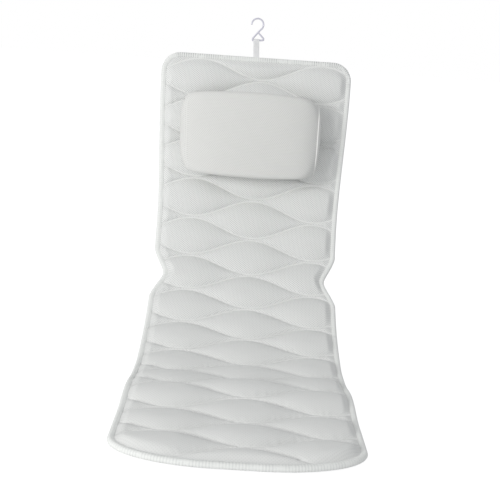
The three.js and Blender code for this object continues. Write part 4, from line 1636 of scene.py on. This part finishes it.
@dataclass
class Hanger:
    """The hanging strap and its hook, in the tilted frame that both stand in over the top edge."""

    shape: MatShape
    webbing: Webbing
    plastic: MouldedPlastic
    strap_width: float = 0.013
    strap_length: float = 0.034
    strap_thickness: float = 0.0012
    strap_base_radius: float = 0.0022
    strap_tilt: float = math.radians(3.6)
    strap_shift: float = -0.0033
    binding_thickness: float = 0.0105
    clearance: float = 0.0003
    bar_radius: float = 0.0018
    wire_radius: float = 0.002
    bail_half_width: float = 0.012
    bail_post: float = 0.004
    neck_height: float = 0.017
    hook_radius: float = 0.013
    hook_centre: Pair = (-0.001, 0.034)
    hook_shift: float = 0.0037
    hook_angles: Pair = (-52.0, 183.0)
    strap_foot: float = -0.0052
    strap_gap: float = 0.00068
    straight_end: float = 0.011
    opening_from: float = 0.021
    opening_length: float = 0.014
    strap_powers: Pair = (0.35, 0.6)
    strap_bend: Pair = (-0.0008, 0.0012)
    bar_overlap: float = 0.32
    stem_start: Pair = (-0.0008, 0.0012)
    stem_pull: float = 0.004
    tip_from: float = 0.985
    tip_length: float = 0.016
    thinned: float = 0.06
    wire_sides: int = 16
    strap_sides: int = 40
    ply_points: int = 18
    loop_points: int = 26
    strap_points: int = 150
    bail_points: int = 180
    rounding_points: int = 13
    arc_points: int = 70
    stem_points: int = 13
    voxel: float = 0.0004

    def in_space(self, points: Array, lift: float = 0.0, shift: float = 0.0) -> Array:
        """Put points of the hanger's own frame in space: tilted about the mat's normal, over the top edge.

        Args:
            points: Points as across, back and up, in the last axis.
            lift: Further height in the tilted frame.
            shift: Further distance across in the tilted frame.

        Returns:
            Points in space.
        """
        dip = self.strap_width / 2.0 * math.sin(self.strap_tilt)
        away = self.strap_base_radius + self.clearance + dip
        seat = self.shape.place(self.strap_shift, -away, self.binding_thickness / 2.0)
        x, y, z = points[..., 0] + shift, points[..., 1], points[..., 2] + lift
        c, s = math.cos(self.strap_tilt), math.sin(self.strap_tilt)
        return seat + np.stack([x * c - z * s, y, x * s + z * c], axis=-1)

    def strap_line(self) -> tuple[Array, Array]:
        """Side view of the doubled webbing: up one ply, round the hook's bar and down the other.

        Returns:
            Back and up of each point, and the length walked to it.
        """
        bend = self.bar_radius + self.clearance + self.strap_thickness / 2.0
        rise = np.linspace(self.strap_foot, self.strap_length - self.straight_end, self.ply_points)
        opened = smooth((rise - (self.strap_length - self.opening_from)) / self.opening_length)
        side = np.stack([-(self.strap_gap + (bend - self.strap_gap) * opened), rise], axis=-1)
        turn = np.linspace(np.pi + self.bar_overlap, -self.bar_overlap, self.loop_points)
        loop = np.stack([bend * np.cos(turn), self.strap_length + bend * np.sin(turn)], axis=-1)
        line = np.concatenate([side, loop, (side * (-1.0, 1.0))[::-1]])
        lengths = np.linspace(0.0, 1.0, self.strap_points) * walked(line)[-1]
        return points_at(line, lengths), lengths

    def build_strap(self) -> bpy.types.Object:
        """Carry the webbing's flat, slightly rounded section along its side view.

        Returns:
            The strap.
        """
        line, lengths = self.strap_line()
        normal, turn = ways_beside(line), turns(self.strap_sides)
        wide, thick = (
            np.sign(part) * np.abs(part) ** power * size / 2.0
            for part, power, size in zip(
                (np.cos(turn), np.sin(turn)), self.strap_powers, (self.strap_width, self.strap_thickness), strict=True
            )
        )
        back, up = (line[:, None, axis] + thick * normal[:, None, axis] for axis in (0, 1))
        points = self.in_space(np.stack([np.broadcast_to(wide, back.shape), back, up], axis=-1))
        faces, uv = lidded(*back.shape), paired(wide, lengths[:, None])
        return make_piece("strap_webbing", points, faces, uv, None, self.webbing.material())

    def tube(self, line: Array, closed: bool, radii: Array) -> tuple[Array, Array]:
        """Carry a circle along a line that lies in the hook's own plane.

        Args:
            line: Across and up of each point.
            closed: Whether the line is a loop.
            radii: The circle's radius at each point.

        Returns:
            Points and faces.
        """
        normal, turn = ways_beside(line, closed), turns(self.wire_sides)
        reach = radii[:, None] * np.cos(turn)
        across, up = (line[:, None, axis] + reach * normal[:, None, axis] for axis in (0, 1))
        rings = np.stack([across, radii[:, None] * np.sin(turn), up], axis=-1)
        rows, size = reach.shape
        quads = grid_quads(rows + 1, size, True) % (rows * size) if closed else grid_quads(rows, size, True)
        return rings.reshape(-1, 3), quads

    def bail_line(self) -> Array:
        """The bail's triangle with its corners rounded by averaging along the line.

        Returns:
            Across and up, one pair to a row.
        """
        half, post, neck = self.bail_half_width, self.bail_post, self.neck_height
        corners = np.array([(-half, 0.0), (-half, post), (0.0, neck), (half, post), (half, 0.0)])
        loop = np.concatenate([corners, corners[:1]])
        line = points_at(loop, np.linspace(0.0, walked(loop)[-1], self.bail_points + 1)[:-1])
        kernel = np.hanning(self.rounding_points)
        kernel /= kernel.sum()
        beside = self.rounding_points // 2
        padded = np.concatenate([line[-beside:], line, line[:beside]])
        return np.stack([np.convolve(padded[:, axis], kernel, "valid") for axis in (0, 1)], axis=-1)

    def round_line(self) -> Array:
        """The stem from the bail's neck, running smoothly into the open round.

        Returns:
            Across and up, one pair to a row.
        """
        centre = np.array(self.hook_centre)
        angle = np.radians(np.linspace(*self.hook_angles, self.arc_points))
        arc = centre + self.hook_radius * np.stack([np.cos(angle), np.sin(angle)], axis=-1)
        start = np.array([self.stem_start[0], self.neck_height - self.stem_start[1]])
        pull = arc[0] - np.array([math.sin(-angle[0]), math.cos(angle[0])]) * self.stem_pull
        t = np.linspace(0.0, 1.0, self.stem_points + 1)[:-1, None]
        stem = (1.0 - t) ** 2 * start + 2.0 * t * (1.0 - t) * pull + t * t * arc[0]
        return np.concatenate([stem, arc])

    def build_hook(self) -> bpy.types.Object:
        """Make the bail, the stem and the round, and melt them together as one moulding.

        Returns:
            The hook.
        """
        bail, line = self.bail_line(), self.round_line()
        share = np.linspace(0.0, 1.0, len(line))
        tip = ((share - self.tip_from) / self.tip_length).clip(0.0, 1.0)
        taper = np.maximum(np.sqrt(1.0 - tip**2), 0.05)
        points, quads = self.tube(bail, True, np.full(len(bail), self.wire_radius))
        more, _ = self.tube(line, False, self.wire_radius * (1.0 - self.thinned * share) * taper)
        faces = [quads, *(group + len(points) for group in lidded(len(line), self.wire_sides))]
        hook = make_piece("hook_moulding", np.concatenate([points, more]), faces)
        remesh = hook.modifiers.new("one_moulding", "REMESH")
        remesh.mode = "VOXEL"
        remesh.voxel_size = self.voxel
        relax = hook.modifiers.new("relaxed", "SMOOTH")
        relax.factor = 0.5
        relax.iterations = 6
        apply_modifiers(hook)
        write_points(hook, self.in_space(read_points(hook), self.strap_length, self.hook_shift))
        outward(hook)
        hook.data.materials.clear()
        hook.data.materials.append(self.plastic.material())
        return hook

    def build(self) -> None:
        """Make the strap, baked in place, and the hook, which swings on its bar, fixed to its own body."""
        strap = self.build_strap()
        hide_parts("hanging_strap")
        low, high = (self.in_space(np.array([0.0, 0.0, height])) for height in self.strap_bend)
        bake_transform(strap)
        hook = self.build_hook()
        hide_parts("hook")
        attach(hook, "hook")
        LOG.info("hanger: strap %d faces, hook %d faces", len(strap.data.polygons), len(hook.data.polygons))


@dataclass
class SuctionCups:
    """Suction cups pressed flat on the tub, each with a neck through the mat's underside."""

    shape: MatShape
    vinyl: ClearVinyl
    side: float = 0.13
    turn_points: int = 48
    back_places: tuple[float, ...] = (0.062, 0.267)
    leg_places: tuple[float, ...] = (1.028, 1.108)
    section: tuple[Pair, ...] = (
        (0.0, -0.0056), (0.004, -0.006), (0.009, -0.007), (0.0145, -0.0078), (0.0172, -0.008), (0.018, -0.0077),
        (0.018, -0.0069), (0.0175, -0.0059), (0.016, -0.0049), (0.0134, -0.004), (0.0102, -0.0034), (0.0072, -0.003),
        (0.005, -0.0026), (0.0038, -0.0021), (0.0034, -0.0014), (0.0034, 0.0006), (0.0, 0.0006),
    )

    def places(self) -> dict[str, list[tuple[float, float]]]:
        """Across and along of every cup, by section of the mat."""
        pair = (-self.side, self.side)
        return {
            "back": [(x, along) for along in self.back_places for x in pair],
            "seat": [(x, self.shape.seat_cup_at) for x in (-self.side, 0.0, self.side)],
            "leg": [(x, along) for along in self.leg_places for x in pair],
        }

    def cup(self, name: str, across: float, along: float, material: bpy.types.Material) -> bpy.types.Object:
        """Turn the cup's section round the axis that is square to the mat.

        Args:
            name: Name of the piece.
            across: Distance from the middle line.
            along: Length down the mat.
            material: Its material.

        Returns:
            The cup.
        """
        reach, level = (np.array(column)[:, None] for column in zip(*self.section, strict=True))
        turn = turns(self.turn_points)
        rings = np.stack(np.broadcast_arrays(reach * np.cos(turn), reach * np.sin(turn), level), axis=-1)
        local = np.concatenate([rings[1:-1].reshape(-1, 3), rings[0, :1], rings[-1, :1]])
        points = self.shape.stand(local, across, along)
        return make_piece(name, points, fanned(len(rings) - 2, len(turn)), material=material)

    def build(self) -> None:
        """Make every cup and fix it to its section."""
        material = self.vinyl.material()
        for section, spots in self.places().items():
            for number, (across, along) in enumerate(spots, 1):
                piece = self.cup(f"{section}_suction_cup_{number}", across, along, material)
                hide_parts(f"{section}_cup_{number}")
                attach(piece, f"{section}_section")
        LOG.info("suction cups: %d", sum(len(spots) for spots in self.places().values()))


@dataclass(frozen=True)
class Studio:
    """A plain pale floor, soft light and the photograph's viewpoint."""

    focal_share: float = 1.7
    pitch: float = math.radians(13.08)
    roll: float = math.radians(3.98)
    yaw: float = math.radians(-1.2)
    distance: float = 1.578
    aim_height: float = 0.25
    shift_right: float = -0.0049
    shift_down: float = 0.0099
    ambient: float = 0.595
    key_power: float = 47.8
    side_power: float = 1.0
    white_share: float = 0.7
    floor_white: float = 1.32
    key_place: Colour = (-2.05, -2.3, 1.12)
    side_place: Colour = (-2.4, -0.4, 1.1)
    lit_point: Colour = (0.0, 0.1, 0.25)
    sky: Colour = (0.97, 0.985, 1.0)
    floor_colour: Colour = (0.88, 0.885, 0.89)
    floor_half: float = 40.0
    sensor: float = 36.0

    def camera(self) -> None:
        """Set the camera: turned by yaw and pitch, then rolled, and moved back from a point over the origin."""
        cp, sp = math.cos(self.pitch), math.sin(self.pitch)
        right = np.array([math.cos(self.yaw), math.sin(self.yaw), 0.0])
        ahead = np.array([-math.sin(self.yaw), math.cos(self.yaw), 0.0])
        look = cp * ahead + np.array([0.0, 0.0, -sp])
        down = -sp * ahead + np.array([0.0, 0.0, -cp])
        cr, sr = math.cos(self.roll), math.sin(self.roll)
        image_right, image_down = cr * right - sr * down, sr * right + cr * down
        place = np.array([0.0, 0.0, self.aim_height]) - self.distance * look
        place = place - self.shift_right * image_right - self.shift_down * image_down
        data = bpy.data.cameras.new("viewpoint")
        data.sensor_fit = "HORIZONTAL"
        data.sensor_width = self.sensor
        data.lens = self.sensor * self.focal_share
        data.clip_start, data.clip_end = 0.05, 60.0
        camera = bpy.data.objects.new("viewpoint", data)
        turned = Matrix(np.stack([image_right, -image_down, -look], axis=-1).tolist()).to_4x4()
        camera.matrix_world = Matrix.Translation(Vector(place.tolist())) @ turned
        bpy.context.scene.collection.objects.link(camera)
        bpy.context.scene.camera = camera

    def lamp(self, name: str, place: Colour, size: float, power: float, colour: Colour) -> None:
        """Hang a square lamp that faces the lit point.

        Args:
            name: Name of the lamp.
            place: Where it hangs.
            size: Length of its side.
            power: Its power in watts.
            colour: Its colour.
        """
        data = bpy.data.lights.new(name, "AREA")
        data.shape = "SQUARE"
        data.size = size
        data.energy = power
        data.color = colour
        lamp = bpy.data.objects.new(name, data)
        lamp.location = place
        way = Vector(self.lit_point) - Vector(place)
        lamp.rotation_mode = "QUATERNION"
        lamp.rotation_quaternion = way.to_track_quat("-Z", "Y")
        bpy.context.scene.collection.objects.link(lamp)

    def seen_directly(self, graph: ShaderGraph) -> Wire:
        """1 for rays from the camera, from glossy surfaces and through clear ones, else 0."""
        path = graph.node("ShaderNodeLightPath")
        outputs = path.socket.node.outputs
        rays = [Wire(graph, outputs[name]) for name in ("Is Camera Ray", "Is Glossy Ray", "Is Transmission Ray")]
        return rays[0].math("MAXIMUM", rays[1]).math("MAXIMUM", rays[2])

    def floor(self) -> None:
        """Lay a large pale floor that looks white and keeps the object's shadow."""
        corners = np.array([(-1.0, -1.0, 0.0), (1.0, -1.0, 0.0), (1.0, 1.0, 0.0), (-1.0, 1.0, 0.0)])
        material = bpy.data.materials.new("studio_floor")
        graph = ShaderGraph(material)
        lit = graph.node("ShaderNodeBsdfDiffuse", None, {"Color": (*self.floor_colour, 1.0)})
        white = graph.node("ShaderNodeEmission", None, {"Color": (*WHITE, 1.0), "Strength": self.floor_white})
        share = self.seen_directly(graph) * self.white_share
        surface = graph.node("ShaderNodeMixShader", None, {0: share, 1: lit, 2: white})
        graph.node("ShaderNodeOutputMaterial", None, {"Surface": surface})
        faces = [np.array([[0, 1, 2, 3]])]
        floor = make_piece("studio_floor", corners * self.floor_half, faces, material=material)

    def surroundings(self) -> None:
        """Light everything evenly from all round, and show plain white behind the object."""
        world = bpy.data.worlds.new("surroundings")
        bpy.context.scene.world = world
        graph = ShaderGraph(world)
        soft = graph.node("ShaderNodeBackground", None, {"Color": (*self.sky, 1.0), "Strength": self.ambient})
        white = graph.node("ShaderNodeBackground", None, {"Color": (*WHITE, 1.0), "Strength": 1.0})
        surface = graph.node("ShaderNodeMixShader", None, {0: self.seen_directly(graph), 1: soft, 2: white})
        graph.node("ShaderNodeOutputWorld", None, {"Surface": surface})

    def build(self) -> None:
        """Set the view, the camera, the floor and the light."""
        bpy.context.scene.view_settings.view_transform = "Standard"
        self.camera()
        self.floor()
        self.surroundings()
        self.lamp("key", self.key_place, 0.95, self.key_power, (1.0, 0.995, 0.98))
        self.lamp("side", self.side_place, 1.6, self.side_power, (1.0, 0.99, 0.97))
        LOG.info("studio: camera, floor and light")


MAT_KNIT = MeshKnit(
    name="mat_air_mesh",
    yarn=(0.83, 0.835, 0.82),
    hole=(0.42, 0.43, 0.425),
    hole_pitch=(0.0057, 0.0044),
    hole_share=0.66,
    pressed=(0.80, 0.805, 0.79),
    stitch=(0.87, 0.875, 0.86),
)
PILLOW_KNIT = MeshKnit(
    name="pillow_fine_mesh",
    yarn=(0.745, 0.745, 0.725),
    hole=(0.48, 0.48, 0.465),
    hole_pitch=(0.0044, 0.0058),
    hole_share=0.4,
)
BINDING = EdgeTape(
    name="binding_tape",
    tape=(0.84, 0.85, 0.83),
    thread=(0.92, 0.93, 0.91),
    gap_shade=(0.50, 0.51, 0.505),
    thread_pitch=0.0050,
    zigzag_at=0.0030,
    zigzag_reach=0.0016,
    depth=0.0006,
)
WELT = EdgeTape(
    name="welt_tape",
    tape=(0.83, 0.83, 0.81),
    thread=(0.88, 0.88, 0.86),
    gap_shade=(0.72, 0.72, 0.70),
    thread_pitch=0.0022,
    zigzag_at=0.0,
    zigzag_reach=0.0,
    depth=0.0002,
)
STRAP = Webbing("strap_webbing", (0.86, 0.86, 0.865), (0.70, 0.70, 0.71), 0.0022, 0.0065)
HOOK = MouldedPlastic("hook_plastic", (0.62, 0.61, 0.70), 0.32)
VINYL = ClearVinyl("clear_vinyl", (0.74, 0.81, 0.83))
LOOPS = TouchTape("loop_tape", Fastening.LOOPS, (0.74, 0.74, 0.74), (0.82, 0.82, 0.82))
HOOKS = TouchTape("hook_tape", Fastening.HOOKS, (0.76, 0.76, 0.76), (0.66, 0.66, 0.66))


def main() -> None:
    """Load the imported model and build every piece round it."""
    logging.basicConfig(level=logging.INFO, format="%(name)s %(message)s")
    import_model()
    shape, pattern = MatShape(), QuiltPattern()
    Studio().build()
    QuiltedMat(shape, pattern, MAT_KNIT).build()
    EdgeBinding(shape, pattern, BINDING).build()
    HeadPillow(shape, PILLOW_KNIT, WELT).build()
    FasteningStrips(shape, LOOPS, HOOKS).build()
    Hanger(shape, STRAP, HOOK).build()
    SuctionCups(shape, VINYL).build()


if __name__ == "__main__":
    main()
